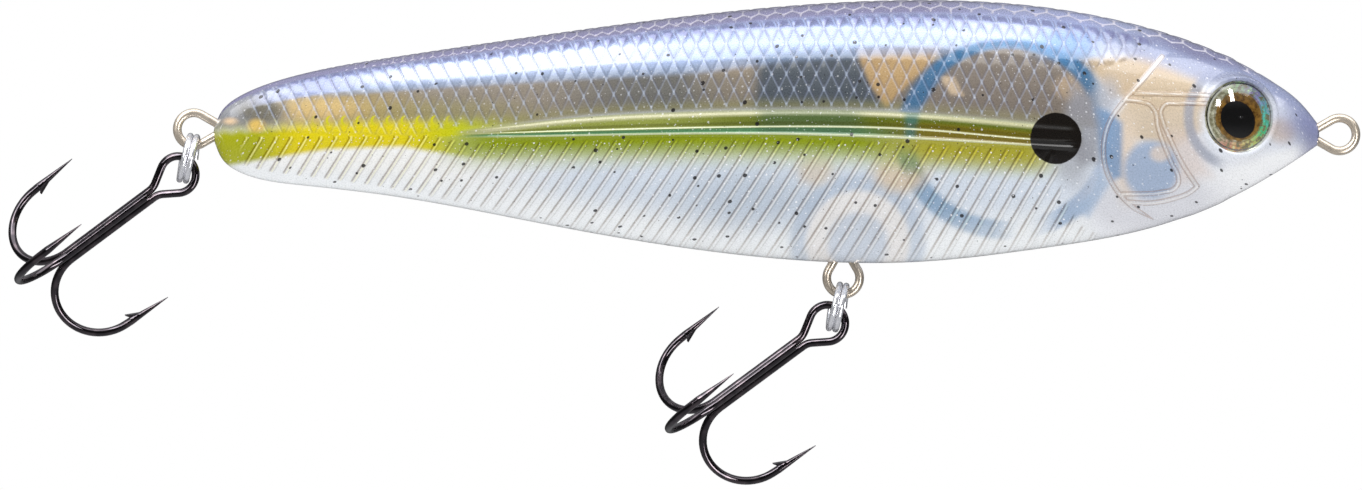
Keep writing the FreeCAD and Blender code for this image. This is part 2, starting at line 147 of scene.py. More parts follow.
# The design's cross-sections, which are upright ellipses: place, top, bottom, half width.
SECTIONS = np.array([
    (-2.56, 1.30, -1.25, 1.05),
    (-4.5, 3.65, -2.60, 2.20),
    (-8.5, 6.50, -5.10, 4.00),
    (-14.0, 9.35, -7.95, 5.85),
    (-22.7, 12.30, -10.95, 7.85),
    (-34.0, 14.45, -12.95, 9.10),
    (-47.5, 15.20, -14.45, 9.50),
    (-68.0, 14.05, -13.70, 8.70),
    (-90.0, 11.30, -10.25, 6.80),
    (-108.0, 8.65, -6.95, 5.00),
    (-118.1, 6.80, -5.75, 3.95),
    (-123.8, 4.95, -4.75, 3.05),
    (-126.8, 2.95, -3.00, 1.95),
    (-127.7, 1.20, -1.20, 0.80),
])
WIDEST = SECTIONS[:, 3].max()
NOSE = SECTIONS[0, 0]
TAIL = SECTIONS[-1, 0]
WALL = 1.6
HOLLOW = (-118.1, -14.0)
END_DOME = 0.25

# The grid: its columns are closer together ahead of HEAD_BACK, and its rows are counted between the rib's
# edges, from the top seam to the bottom one.
HEAD_BACK = -28.0
HEAD_STEP = 0.17
BODY_STEP = 0.226
CAP_RINGS = 4
INNER_ROWS = 7
ROWS_ABOVE, ROWS_UPPER, ROWS_LOWER, ROWS_BELOW = 64, 10, 7, 72

# The rib along the side: its upper edge, the crease along its middle and its lower lip.
RIB_TOP = [
    (NOSE, 0.5), (-15, 0.6), (-29.5, 0.75), (-35.2, 1.19), (-45.4, 2.10), (-61.9, 2.67),
    (-74.9, 2.39), (-88.6, 1.58), (-100.7, 0.35), (-112, 0.45), (TAIL, 0.6),
]
RIB_CREASE = [
    (NOSE, 0.0), (-15, -0.3), (-29.5, -0.75), (-35.2, -0.56), (-45.4, 0.35), (-63.6, 0.85),
    (-90.9, 0.28), (-100.7, 0.02), (-112, 0.0), (TAIL, 0.1),
]
RIB_LIP = [
    (NOSE, -0.5), (-15, -0.9), (-29.5, -1.5), (-35.2, -1.19), (-45.4, -0.60), (-63.6, 0.08),
    (-88.6, -0.10), (-100.7, -0.3), (-112, -0.45), (TAIL, -0.5),
]
RIB_ENDS = (-101.5, -29.6)

# The raised lines below the rib lean forward by this much for each millimetre up, one every pitch.
LEAN = 1 / math.tan(math.radians(58.5))
LINE_PITCH = 1.70

chords = np.concatenate([[0], np.cumsum(np.linalg.norm(np.diff(SECTIONS, axis=0), axis=1))])
BODY = spline(chords, SECTIONS, np.linspace(0, chords[-1], 4000))


def section(x):
    """The middle height, half height and half width of the body at each place along X."""
    top, bottom, half = (np.interp(-x, -BODY[:, 0], BODY[:, k]) for k in (1, 2, 3))
    return (top + bottom) / 2, (top - bottom) / 2, half


def columns():
    """Places along X for the grid's columns, and how much each section is shrunk: only the ends are."""
    head = np.arange(NOSE, HEAD_BACK, -HEAD_STEP)
    rest = np.linspace(head[-1], TAIL, int((head[-1] - TAIL) / BODY_STEP))[1:]
    shrink = 1 - np.linspace(0, 0.7, CAP_RINGS + 1)[1:]
    dome = END_DOME * (1 - shrink ** 2)
    x = np.concatenate([(NOSE + dome)[::-1], head, rest, TAIL - dome])
    scale = np.concatenate([shrink[::-1], np.ones(len(head) + len(rest)), shrink])
    return x, scale


def turns_of(x):
    """The angle round the section of each row in each column, 90 degrees at the top seam, -90 at the bottom.
    Rows follow the side rib's three edges and are evenly spaced between them."""
    middle, height, half = section(x)
    edges = [np.clip((curve_through(line, x) - middle) / height, -0.8, 0.8)
             for line in (RIB_TOP, RIB_CREASE, RIB_LIP)]
    angles = np.radians(np.linspace(90, -90, 721))
    rows = []
    for i in range(len(x)):
        speed = np.hypot(half[i] * np.sin(angles), height[i] * np.cos(angles))
        length = np.concatenate([[0], np.cumsum((speed[1:] + speed[:-1]) / 2)]) * (angles[0] - angles[1])
        stops = [0, *(np.interp(-math.asin(edge[i]), -angles, length) for edge in edges), length[-1]]
        counts = (ROWS_ABOVE, ROWS_UPPER, ROWS_LOWER, ROWS_BELOW)
        spans = [np.linspace(a, b, n + 1)[:-1] for a, b, n in zip(stops, stops[1:], counts)]
        places = np.concatenate([*spans, [length[-1]]])
        rows.append(np.interp(places, length, angles))
    return np.array(rows)


class Skin:
    """One half's outer grid: each point's place, angle, length from the top and line number."""

    def __init__(self):
        column, shrink = columns()
        self.column_x, self.shrink = column, shrink
        self.turn = turns_of(column)
        middle, height, _ = section(column)
        lip = curve_through(RIB_LIP, column)[:, None]
        level = middle[:, None] + height[:, None] * np.sin(self.turn)
        slant = smooth(TAIL + 3, TAIL + 24, column) * (1 - smooth(-37, -19, column))
        under = np.maximum(lip - level, 0)
        self.x = column[:, None] - slant[:, None] * LEAN * under
        self.line = (column[:, None] + (1 - slant[:, None]) * LEAN * under) / LINE_PITCH
        middle, height, half = section(self.x)
        scale = shrink[:, None]
        self.y = -half * scale * np.cos(self.turn)
        self.z = middle + height * scale * np.sin(self.turn)
        self.half = half
        steps = np.hypot(np.diff(self.y, axis=1), np.diff(self.z, axis=1))
        self.arc = np.concatenate([np.zeros((len(column), 1)), np.cumsum(steps, axis=1)], axis=1)

    def normals(self):
        """The outward direction at each point."""
        along = np.stack([np.gradient(v, axis=0) for v in (self.x, self.y, self.z)], axis=-1)
        down = np.stack([np.gradient(v, axis=1) for v in (self.x, self.y, self.z)], axis=-1)
        out = np.cross(down, along)
        out /= np.linalg.norm(out, axis=-1, keepdims=True) + 1e-9
        return out * np.sign(np.sum(out * np.stack([0 * self.y, self.y, self.z], axis=-1)))


# ---------------------------------------------------------------- moulded relief, in millimetres outwards

SCALE_WIDE = 1.70
SCALE_TALL = 3.48
BACK_TURN = math.radians(63.5)
HEX_WIDE = 2.27
HEX_TALL = 2.1

EYE = (-11.6, 5.2, 2.0)
EYE_YAW = math.radians(17)
SOCKET_RADIUS = 4.1
SOCKET_DEPTH = 0.97
EYE_RIM_TOP = 0.22

GILL = [
    (-20.3, 8.8), (-23.2, 5.4), (-24.6, 3.9), (-26.5, 1.0), (-27.0, -1.4), (-26.6, -4.3), (-25.8, -5.9),
    (-23.7, -8.2), (-21.2, -9.7),
]
CHEEK_LINES = [
    [(-23.4, 4.6), (-19.0, 4.5), (-14.7, 4.4)],
    [(-24.6, 3.9), (-22.7, 3.64), (-21.76, 3.35), (-21.2, 2.67), (-20.85, 0.85), (-20.06, -1.42),
     (-19.26, -3.24), (-18.47, -4.94), (-18.5, -5.6), (-19.0, -6.2), (-20.3, -6.53), (-24.8, -6.76)],
    [(-15.4, 3.47), (-18.7, 3.47), (-20.06, 3.35), (-20.5, 2.67), (-20.3, 1.53), (-19.5, -0.4),
     (-18.1, -3.24), (-17.0, -4.94), (-16.3, -5.9)],
    [(-16.3, -5.9), (-17.1, -6.55), (-19.0, -7.27), (-21.9, -7.78), (-24.0, -7.67)],
]
# Where the raised lines stop behind the gill cover: (height, place along).
LINES_FRONT = [
    (-11.3, -27.2), (-11.0, -28.4), (-10.2, -29.5), (-9.1, -30.4), (-7.8, -31.1), (-6.1, -31.8),
    (-4.0, -32.1), (-1.0, -33.0),
]


def saw(value):
    """How far a value is from the nearest whole number, from 0 to 0.5."""
    return np.abs(value - np.round(value))


def scale_numbers(skin):
    """The two families of diagonal lines that bound the scales, which cross at whole numbers."""
    up = skin.z - curve_through(RIB_TOP, skin.x) - 0.7
    return skin.x / SCALE_WIDE + up / SCALE_TALL, skin.x / SCALE_WIDE - up / SCALE_TALL


def scale_area(skin):
    """Where the side scales are: from just above the rib up to the back, behind the gill cover."""
    above = skin.z - curve_through(RIB_TOP, skin.x)
    gill_x = np.interp(skin.z, [2.0, 4.4, 7.4, 9.0, 11], [-33.0, -31.0, -28.2, -22.4, -20.3])
    start = 0.35 - 0.85 * smooth(-100, -106, skin.x)
    area = smooth(start, start + 0.4, above) * (1 - smooth(-0.8, 0.1, skin.x - gill_x))
    area = area * (1 - smooth(BACK_TURN - 0.05, BACK_TURN + 0.04, skin.turn))
    return area * smooth(TAIL + 2, TAIL + 6, skin.x)


def line_area(skin):
    """Where the raised lines below the rib are."""
    below = curve_through(RIB_LIP, skin.x) - skin.z
    front = np.interp(skin.z, *zip(*LINES_FRONT))
    start = 0.65 - 1.0 * smooth(-98, -104, skin.x)
    area = smooth(start, start + 0.25, below) * (1 - smooth(-0.3, 0.1, skin.x - front))
    end = np.interp(skin.x, [-127, -110, -100, -85], [-0.85, -1.05, -1.2, -1.42])
    area = area * (0.55 + 0.45 * smooth(-1.35, -0.85, skin.turn))
    return area * smooth(end - 0.06, end + 0.04, skin.turn) * smooth(TAIL + 2.5, TAIL + 4, skin.x)


def back_area(skin):
    """Where the back's larger six-sided scales are."""
    area = smooth(BACK_TURN - 0.02, BACK_TURN + 0.05, skin.turn) * smooth(TAIL + 6, TAIL + 16, skin.x)
    return area * (1 - smooth(-9.5, -6.5, skin.x))


def hex_edge(skin):
    """0 in the middle of a back scale and 1 on its outline."""
    fullness = skin.half / WIDEST
    u = skin.x / (HEX_WIDE * (0.55 + 0.45 * fullness))
    v = skin.arc / (HEX_TALL * (0.4 + 0.6 * fullness))
    # A scale's middle is at each whole u with an even v, and half a step along in the rows between. The
    # outline is where the nearest middle and the second nearest are equally far.
    best = np.full(u.shape, 9.0)
    second = np.full(u.shape, 9.0)
    for du, dv in ((0, 0), (0.5, 1.0)):
        pu, pv = (u - du) - np.round(u - du), (v - dv) - 2 * np.round((v - dv) / 2)
        for su in (-1, 0, 1):
            for sv in (-2, 0, 2):
                reach = np.hypot(pu + su, (pv + sv) * 0.8)
                second = np.minimum(second, np.maximum(best, reach))
                best = np.minimum(best, reach)
    return 1 - np.clip((second - best) / 0.5, 0, 1)


def across_rib(skin):
    """0 at the rib's upper edge, 1 at its crease, 2 at its lip and 3 a little below it."""
    top, crease, lip = (curve_through(line, skin.x) for line in (RIB_TOP, RIB_CREASE, RIB_LIP))
    z = skin.z
    across = np.where(z > crease, (top - z) / (top - crease), 1 + (crease - z) / (crease - lip))
    return np.where(z < lip, 2 + (lip - z) / 0.45, across)


def rib_area(skin):
    """Where the rib stands out from the body."""
    return smooth(RIB_ENDS[0], RIB_ENDS[0] + 13, skin.x) * (1 - smooth(-1.6, 0, skin.x - RIB_ENDS[1]))


def rib_relief(skin):
    """The side rib: two facets that lean in, each under a narrow upward slope."""
    across = across_rib(skin)
    height = np.interp(across, [0, 0.3, 0.9, 1.06, 1.70, 2.0, 2.3, 3.0],
                       [0, 0.19, 0.13, 0.27, 0.14, 0.34, 0.30, 0])
    return height * rib_area(skin)


def line_relief(skin):
    """The raised lines, each with a shallow groove behind it."""
    across = (skin.line - np.round(skin.line)) * LINE_PITCH
    bead = 0.17 * np.exp(-(across / 0.20) ** 2) - 0.07 * np.exp(-((across + 0.42) / 0.22) ** 2)
    return bead * line_area(skin)


def scale_relief(skin):
    """The side scales: low pillows, fuller near the back and towards the tail."""
    first, second = scale_numbers(skin)
    rear = smooth(-88, -108, skin.x)
    across = np.maximum(np.sin(np.pi * saw(second)), 0.65 * rear)
    pillow = np.minimum(np.sin(np.pi * saw(first)), across)
    return (0.06 + 0.12 * smooth(0.4, 0.75, skin.turn) + 0.05 * rear) * pillow * scale_area(skin)


def back_relief(skin):
    """The back's scales: low flat-topped pillows."""
    return 0.08 * (1 - hex_edge(skin) ** 2) * back_area(skin)


def head_marks(skin):
    """The distance to the nearest line of the gill cover and cheek."""
    near = path_distance(skin.x, skin.z, GILL) + 0.3 * smooth(-8.4, -10.4, skin.z)
    for line in CHEEK_LINES:
        near = np.minimum(near, path_distance(skin.x, skin.z, line))
    return near


def head_relief(skin, near):
    """The gill cover's slightly raised plate and its beaded lines."""
    plate = in_outline(skin.x, skin.z, GILL + [(-14, -9), (-8, 0), (-12, 9)], 0.35)
    bead = np.exp(-(near / 0.14) ** 2) - 0.5 * np.exp(-((near - 0.30) / 0.11) ** 2)
    return 0.08 * plate * smooth(2.0, 5.0, -skin.x - 6) + 0.10 * bead


def set_eye(skin, place):
    """Presses the socket into the skin, raises a rim round it and pulls the grid onto the socket's edge."""
    out = np.array([math.sin(EYE_YAW), -math.cos(EYE_YAW), 0])
    fore = np.array([math.cos(EYE_YAW), math.sin(EYE_YAW), 0])
    centre = np.array([EYE[0], -EYE[1], EYE[2]])
    offset = place - centre
    p, q, s = offset @ fore, offset[..., 2], offset @ out
    near = (np.hypot(p, q) < 7) & (s > -4)
    reach = np.hypot(p, q)
    snap = near & (np.abs(reach - SOCKET_RADIUS) < HEAD_STEP * 0.55)
    pull = np.where(snap, SOCKET_RADIUS / np.maximum(reach, 0.1), 1)
    p, q = p * pull, q * pull
    reach = np.where(snap, SOCKET_RADIUS, reach)
    rim = 1 - smooth(SOCKET_RADIUS + 0.35, SOCKET_RADIUS + 1.0, reach)
    crest = EYE_RIM_TOP - 0.12 * smooth(0.2, 0.0, reach - SOCKET_RADIUS)
    s = np.where(near, s + (crest - s) * rim, s)
    s = np.where(near & (reach < SOCKET_RADIUS - 0.01), -SOCKET_DEPTH, s)
    moved = centre + p[..., None] * fore + s[..., None] * out
    moved[..., 2] = centre[2] + q
    place[near] = moved[near]


# ---------------------------------------------------------------- paint, as a colour for each point

BASE_COAT = (214, 222, 232)
INNER_WALL_COAT = (196, 200, 206)

# The rattle chamber's ring, which shows through the skin, and the arch over the belly hanger.
CHAMBER = (-37.8, -0.6)
ARCH = (-54.8, -12.3)


def linear(*shade):
    """A screen colour, 0 to 255 for each of red, green and blue, as the linear light that materials take."""
    v = np.array(shade, float) / 255
    return np.where(v > 0.04045, ((v + 0.055) / 1.055) ** 2.4, v / 12.92)


class Coat:
    """The colour of each point of a skin. Each method sprays one region over what is there already."""

    def __init__(self, skin):
        self.x, self.z, self.turn = skin.x, skin.z, skin.turn
        self.degrees = np.degrees(skin.turn)
        self.above = skin.z - curve_through(RIB_TOP, skin.x)
        self.under = curve_through(RIB_LIP, skin.x) - skin.z
        self.colour = np.zeros(skin.x.shape + (3,)) + linear(*BASE_COAT)
        # The pearl shoulder, pearl paint that is partly a painted highlight band, starts at this many degrees
        # round the section.
        self.edge = np.interp(skin.x, [-84, -72, -63, -38], [36, 36, 40, 41.5])
        self.pearl = smooth(self.edge - 3, self.edge + 3, self.degrees)
        self.inside = self.oval(CHAMBER, (10.6, 10.4), 0.4) * smooth(-0.2, 0.6, self.above)
        inner_tall = 9.2 + 1.2 * smooth(3, 8, skin.z)
        self.ring = self.oval(CHAMBER, (12.7, 11.3), 0.4) - self.oval(CHAMBER, (10.5, inner_tall), 0.4)
        self.ring = np.maximum(self.ring, 0)
        self.stripe = self.rear_stripe()

    def spray(self, shade, amount):
        """Covers the colour with a shade as far as amount says."""
        self.colour += (linear(*shade) - self.colour) * amount[..., None]

    def along(self, start, end):
        """0 at one place along the lure and before it, 1 at the other and beyond."""
        return smooth(start, end, self.x)

    def oval(self, centre, radii, soft):
        """1 inside an oval and 0 outside it."""
        return in_oval(self.x, self.z, centre, radii, soft)

    def patch(self, shade, amount, soft, *place):
        """Sprays an oval, given by its centre and radii, or an outline, given by its corners."""
        if len(place) == 2:
            area = self.oval(*place, soft)
        else:
            area = in_outline(self.x, self.z, list(place), soft)
        self.spray(shade, area * amount)

    def rear_stripe(self):
        """Where the yellow stripe of the rear is. Its upper edge follows the scales."""
        low = np.interp(self.x, [-127, -121.5, -114.8, -106.4, -103.4, -99, -88],
                        [-3.6, -2.7, -1.65, -1.35, -1.9, -2.5, -3.0])
        high = np.interp(self.x, [-127, -121.5, -117, -109.6, -100, -92], [0.4, 0.8, 1.2, 1.5, 1.5, 1.5])
        high = high + 0.5 * saw((self.x + 0.14 * self.z) / SCALE_WIDE)
        return smooth(-0.45, 0.35, self.z - low) * smooth(1.0, -0.9, self.z - high) * self.along(-90, -101)

    def smoky_flank(self):
        """See-through smoke over the dark inside, between the rib and the pearl shoulder."""
        flank = smooth(-0.3, 0.8, self.above) * (1 - self.pearl) * self.along(-24, -30)
        self.spray((120, 112, 102), flank * self.along(-123, -112))
        self.spray((144, 134, 120), flank * self.along(-78, -92) * 0.8)
        self.patch((165, 145, 118), flank * 0.7, 2.0, (-70, 6.2), (3.6, 3.2))
        self.patch((92, 96, 94), flank * 0.6, 2.5, (-76, 5), (10, 3.2))
        dark_window = [(-65.9, 9.4), (-55.3, 9.4), (-51.9, 2.9), (-66.5, 2.4)]
        self.patch((72, 80, 88), flank * 0.95, 0.9, *dark_window)
        tan_wedge = [(-55.0, 9.6), (-53.6, 11), (-44.6, 10.6), (-47.1, 7.6), (-49.6, 5.2), (-51.6, 3.0),
                     (-53.4, 5.6)]
        self.patch((176, 146, 102), flank, 0.35, *tan_wedge)
        self.spray((146, 142, 84), flank * smooth(1.9, 0.2, self.above) * self.along(-112, -96) * 0.55)

    def chamber(self):
        """The rattle chamber's blue ring and what shows inside it."""
        self.spray((124, 114, 104), self.inside * 0.95)
        glint = [(-45.6, 6.6), (-43.9, 6.4), (-42.8, 4.3), (-44.3, 4.5)]
        self.patch((205, 182, 152), 0.8, 0.25, *glint)
        self.patch((186, 162, 132), 0.6, 0.6, (-30.8, 5.3), (1.7, 1.4))
        upper = smooth(1.5, 3.5, self.z)
        lower_left = (1 - upper) * self.along(-36, -40) * (1 - smooth(-8.0, -11.5, self.z) * 0.35)
        self.spray((62, 106, 142), self.ring * upper * 0.95)
        self.spray((138, 166, 194), self.ring * lower_left * 0.95)
        self.spray((126, 158, 194), self.ring * (1 - upper) * self.along(-36, -30) * 0.85)
        self.spray((150, 146, 104), self.inside * smooth(1.9, 0.2, self.above) * 0.5)
        self.patch((184, 195, 208), 0.75, 2.5, (-67, -7.5), (8, 3.2))

    def hanger_arch(self):
        """The arch over the belly hanger, a blue ring round a pale one, and the tan beside it."""
        below = smooth(1.2, 3.0, self.under)
        self.patch((176, 190, 208), below * 0.65, 0.7, ARCH, (7.7, 7.7))
        self.patch((236, 232, 228), below * 0.9, 0.5, ARCH, (5.9, 5.9))
        self.patch((194, 204, 217), below * 0.8, 0.6, ARCH, (3.4, 3.4))
        self.patch((214, 194, 164), below * 0.85, 1.0, (-50.0, -4.2), (3.0, 2.4))
        self.patch((212, 196, 172), below * 0.7, 0.9, (-59.6, -4.0), (2.0, 1.8))

    def yellow_and_green(self):
        """The rear stripe, greener at its two ends, and the green that hangs below the rib ahead of it."""
        yellow = np.zeros(self.colour.shape) + linear(226, 207, 8)
        for shade, amount in (((160, 168, 20), self.along(-117.5, -124) * 0.85),
                              ((190, 196, 14), self.along(-108, -98))):
            yellow += (linear(*shade) - yellow) * amount[..., None]
        self.colour += (yellow - self.colour) * self.stripe[..., None]
        green = smooth(-0.2, 0.1, self.under) * self.along(-104, -96) * self.along(-30.5, -36)
        self.spray((190, 198, 146), green * smooth(4.6, 1.8, self.under) * 0.85)
        self.spray((142, 156, 8), green * smooth(3.2, 0.8, self.under) * self.along(-43, -55))
        self.spray((172, 164, 26), green * smooth(4.0, 1.2, self.under) * self.along(-56, -46) * 0.95)

    def rib(self):
        """The rib's olive face, with a painted highlight along its upper edge, and the chamber's ring where
        it crosses.
        """
        on_rib = smooth(-0.12, 0.12, -self.above) * smooth(-0.15, 0.1, -self.under)
        on_rib = on_rib * self.along(-101, -96) * self.along(-29, -30)
        below_crease = curve_through(RIB_CREASE, self.x) - self.z
        self.spray((96, 108, 24), on_rib)
        self.spray((146, 154, 70), on_rib * self.along(-62, -80))
        # Painted highlight: the upward-facing upper edge of the rib sprayed pale.
        self.spray((190, 188, 146), on_rib * smooth(0.75, 0.3, -self.above))
        self.spray((86, 138, 92), on_rib * smooth(0.0, 0.25, below_crease) * self.along(-45, -60))
        self.spray((128, 108, 8), on_rib * smooth(0.7, 1.4, -self.above) * self.along(-56, -44) * 0.85)
        self.spray((60, 116, 112), self.ring * on_rib * self.along(-50.0, -49.0) * 0.7)
        ring_below = self.ring * smooth(0.2, 3.0, self.under) * smooth(5.0, 3.0, self.under)
        self.spray((88, 130, 98), ring_below * self.along(-40, -44) * 0.6)
        self.spray((70, 100, 70), on_rib * self.along(-67, -65) * self.along(-53, -56) * 0.55)

    def tail(self):
        """Tan, amber and grey patches at the tail, kept off the yellow stripe."""
        clear = 1 - self.stripe
        self.patch((184, 160, 98), clear * 0.75, 1.4, (-113.5, 2.6), (8.5, 2.1))
        self.patch((150, 142, 92), clear * 0.6, 1.2, (-101.5, 2.2), (9.0, 1.6))
        self.patch((214, 184, 124), clear * 0.85, 0.9, (-115.8, 2.8), (4.4, 1.3))
        side = self.along(-119, -123) * smooth(-0.5, 0.8, self.z) * smooth(60, 30, self.degrees)
        self.spray((134, 132, 112), side * clear * 0.8)
        self.spray((138, 140, 148), self.along(-118, -123) * smooth(0.6, 2.0, self.z) * 0.85)
        self.patch((112, 106, 88), clear * 0.85, 0.7, (-122.4, 2.5), (2.4, 1.3))
        self.patch((228, 190, 96), 0.9, 0.4, (-123.0, 0.95), (0.9, 0.7))
        self.patch((232, 200, 160), 0.9, 0.3, (-126.0, 1.5), (0.7, 0.35))

    def shoulder_and_back(self):
        """The pearl shoulder, pearl paint that is partly a painted highlight band with whiter and duller
        stretches, its blue lower rim as the painted highlight's tinted edge, the ring's blue upper arc and
        the purple back.
        """
        shoulder = self.pearl * self.along(-125, -116)
        # Painted highlight: the pearl shoulder is pearl paint and also the overhead highlight band, sprayed
        # whiter on its lower half from -68 back, duller from -76 to -50, at the front and at the tail.
        self.spray((176, 190, 230), shoulder)
        lower_half = smooth(56, 48, self.degrees)
        self.spray((204, 212, 236), shoulder * self.along(-68, -84) * lower_half * 0.8)
        self.spray((160, 177, 220), shoulder * self.along(-82, -76) * self.along(-42, -50) * 0.5)
        self.spray((146, 166, 212), shoulder * self.along(-37, -31) * 0.6)
        self.spray((138, 148, 190), shoulder * self.along(-104, -116) * 0.8)
        # Painted highlight edge: a bluish rim just under the band, where the highlight's edge looks tinted.
        rim = smooth(self.edge - 8, self.edge - 3, self.degrees) * self.along(-120, -108)
        rim = rim * (1 - smooth(self.edge - 1, self.edge + 6, self.degrees))
        self.spray((150, 172, 208), rim * (1 - self.inside) * 0.6)
        upper_arc = smooth(24, 34, self.degrees) * smooth(56, 44, self.degrees)
        self.spray((52, 108, 150), self.ring * upper_arc * 0.9)
        self.patch((92, 146, 200), 0.55, 1.0, (-31.5, 9.9), (3.4, 1.5))
        back = smooth(60, 66.5, self.degrees)
        self.spray((134, 131, 166), back * (1 - 0.4 * self.along(-48, -36)))
        self.spray((120, 117, 150), smooth(0.80, 0.98, np.sin(self.turn)) * self.along(-28, -16) * 0.8)

    def cheek(self):
        """The cheek's tan and grey shapes and its blue boss, behind and below the eye."""
        fore = self.along(-29, -25)
        self.spray((226, 229, 236), fore * smooth(60, 40, self.degrees))
        self.spray((244, 244, 244), fore * smooth(-18, -42, self.degrees))
        tan_top = [(-28.8, 8.4), (-22, 9.0), (-20.6, 8.0), (-24.6, 4.2), (-26.2, 4.2)]
        tan_fore = [(-24.6, 5.0), (-21.4, 8.6), (-18.5, 7.4), (-16.2, 5.4), (-15.5, 3.0), (-24.0, 3.0)]
        tan_middle = [(-23.0, 6.6), (-16, 6.8), (-16, 0.4), (-19.2, -1.6), (-24.6, -0.4), (-25.6, 2.0)]
        tan_low = [(-20.4, 0.4), (-16.6, 0.4), (-14.8, -4.6), (-18.2, -5.4)]
        self.patch((192, 168, 134), 0.9, 0.6, *tan_top)
        self.patch((196, 172, 142), 0.9, 1.0, *tan_fore)
        self.patch((206, 186, 158), 0.9, 0.8, *tan_middle)
        self.patch((208, 208, 214), 0.8, 2.0, (-21.5, -7.6), (8.0, 4.4))
        self.patch((222, 204, 184), 0.9, 0.9, (-24.4, -2.6), (1.4, 4.2))
        self.patch((216, 200, 190), 0.7, 1.2, *tan_low)
        self.patch((176, 176, 182), 0.75, 0.9, (-26.5, 4.4), (1.3, 1.8))
        blue_bow = [(-28.4, 3.2), (-26.4, 2.6), (-24.9, 1.2), (-24.9, -4.8), (-26.0, -5.2), (-27.6, -2)]
        blue_foot = [(-27.4, -4.0), (-26.3, -5.6), (-28.6, -9.4), (-30.6, -8.6), (-28.4, -6.6)]
        self.patch((112, 146, 184), 0.85, 0.5, *blue_bow)
        self.patch((160, 182, 208), 0.7, 0.5, *blue_foot)
        self.patch((158, 175, 200), 0.95, 0.6, (-21.6, -4.0), (3.1, 3.2))
        self.patch((216, 202, 190), 0.85, 0.4, (-20.6, -2.2), (1.1, 0.9))

    def face(self):
        """The shadow of the socket's cup, the darker nose and crown, and grey behind the gill cover."""
        cup = (-11.7, 2.0)
        shadow = self.oval(cup, (6.2, 6.2), 0.35) - self.oval(cup, (5.1, 5.1), 0.3)
        self.spray((150, 156, 172), np.maximum(shadow, 0) * self.along(-12.5, -15) * 0.75)
        self.patch((214, 190, 164), 0.75, 0.8, (-6.6, 0.4), (1.6, 1.3))
        self.spray((122, 129, 168), self.along(-9.5, -3.6) * smooth(-3.0, 1.5, self.z) * 0.9)
        self.spray((126, 130, 166), self.along(-5.5, -3.0) * 0.8)
        crown = self.z - np.interp(self.x, [-28, -24, -20, -16, -9, -4], [9.6, 8.8, 7.6, 5.9, 4.6, 2.2])
        self.spray((138, 145, 176), smooth(-0.9, 0.9, crown) * self.along(-30, -24) * 0.85)
        self.spray((108, 106, 140), smooth(1.6, 3.2, crown) * self.along(-24, -18) * 0.75)
        self.patch((164, 164, 168), 0.7, 1.2, (-30.6, -3.0), (1.8, 2.6))
        grey = [(-30.5, 5.6), (-28.2, 4.4), (-27.4, 1.0), (-27.4, -3.2), (-29.6, -3.6), (-32, 0)]
        self.patch((146, 146, 152), 0.85, 0.9, *grey)


def paint(skin):
    """The finished colour of each point. A later spray covers an earlier one."""
    coat = Coat(skin)
    coat.spray((247, 246, 242), coat.along(-84, -104))
    coat.spray((240, 242, 242), smooth(-30, -58, coat.degrees))
    coat.smoky_flank()
    coat.chamber()
    coat.hanger_arch()
    coat.yellow_and_green()
    coat.rib()
    coat.tail()
    coat.shoulder_and_back()
    coat.cheek()
    coat.face()
    return coat.colour


# ---------------------------------------------------------------- meshes

def object_from(name, vertices, faces, body, replaced):
    """A smooth-shaded piece that stands for the named CAD nodes."""
    mesh = bpy.data.meshes.new(name)
    mesh.from_pydata(vertices, [], faces)
    mesh.validate()
    mesh.shade_smooth()
    mesh.set_sharp_from_angle(angle=math.radians(35))
    piece = bpy.data.objects.new(name, mesh)
    bpy.context.collection.objects.link(piece)
    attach(piece, body)
    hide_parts(*replaced)
    return piece


def store(mesh, name, *numbers):
    """Stores up to three numbers for each vertex. Missing ones are zero."""
    values = np.zeros((len(mesh.vertices), 3), np.float32)
    for place, number in enumerate(numbers):
        values[:, place] = number.ravel()
    mesh.attributes.new(name, "FLOAT_VECTOR", "POINT").data.foreach_set("vector", values.ravel())


def inner_wall(skin):
    """The hollow's wall, from the bottom seam to the top seam. Beyond the hollow it lies flat on the seam."""
    x = skin.column_x
    middle, height, half = section(x)
    opened = smooth(HOLLOW[0] - 0.6, HOLLOW[0] + 0.6, x) * smooth(HOLLOW[1] + 0.6, HOLLOW[1] - 0.6, x)
    tall = (height - WALL * (0.35 + 0.65 * opened)) * skin.shrink
    tall = np.maximum(tall, 0.3 * height * skin.shrink)
    deep = np.maximum(half - WALL, 0) * opened
    turn = np.radians(np.linspace(-90, 90, INNER_ROWS))
    y = -deep[:, None] * np.cos(turn)
    y[:, 0] = y[:, -1] = 0
    z = middle[:, None] + tall[:, None] * np.sin(turn)
    return np.stack([np.broadcast_to(x[:, None], y.shape), y, z], axis=-1)


def ring_faces(count_x, count_round, flip):
    """Quads of a grid that closes round on itself, and its two end faces."""
    i, j = np.meshgrid(np.arange(count_x - 1), np.arange(count_round), indexing="ij")
    after = (j + 1) % count_round
    quads = np.stack([i * count_round + j, i * count_round + after,
                      (i + 1) * count_round + after, (i + 1) * count_round + j], axis=-1).reshape(-1, 4)
    first = list(range(count_round))[::-1]
    last = [(count_x - 1) * count_round + k for k in range(count_round)]
    faces = quads.tolist() + [first, last]
    return [face[::-1] for face in faces] if flip else faces


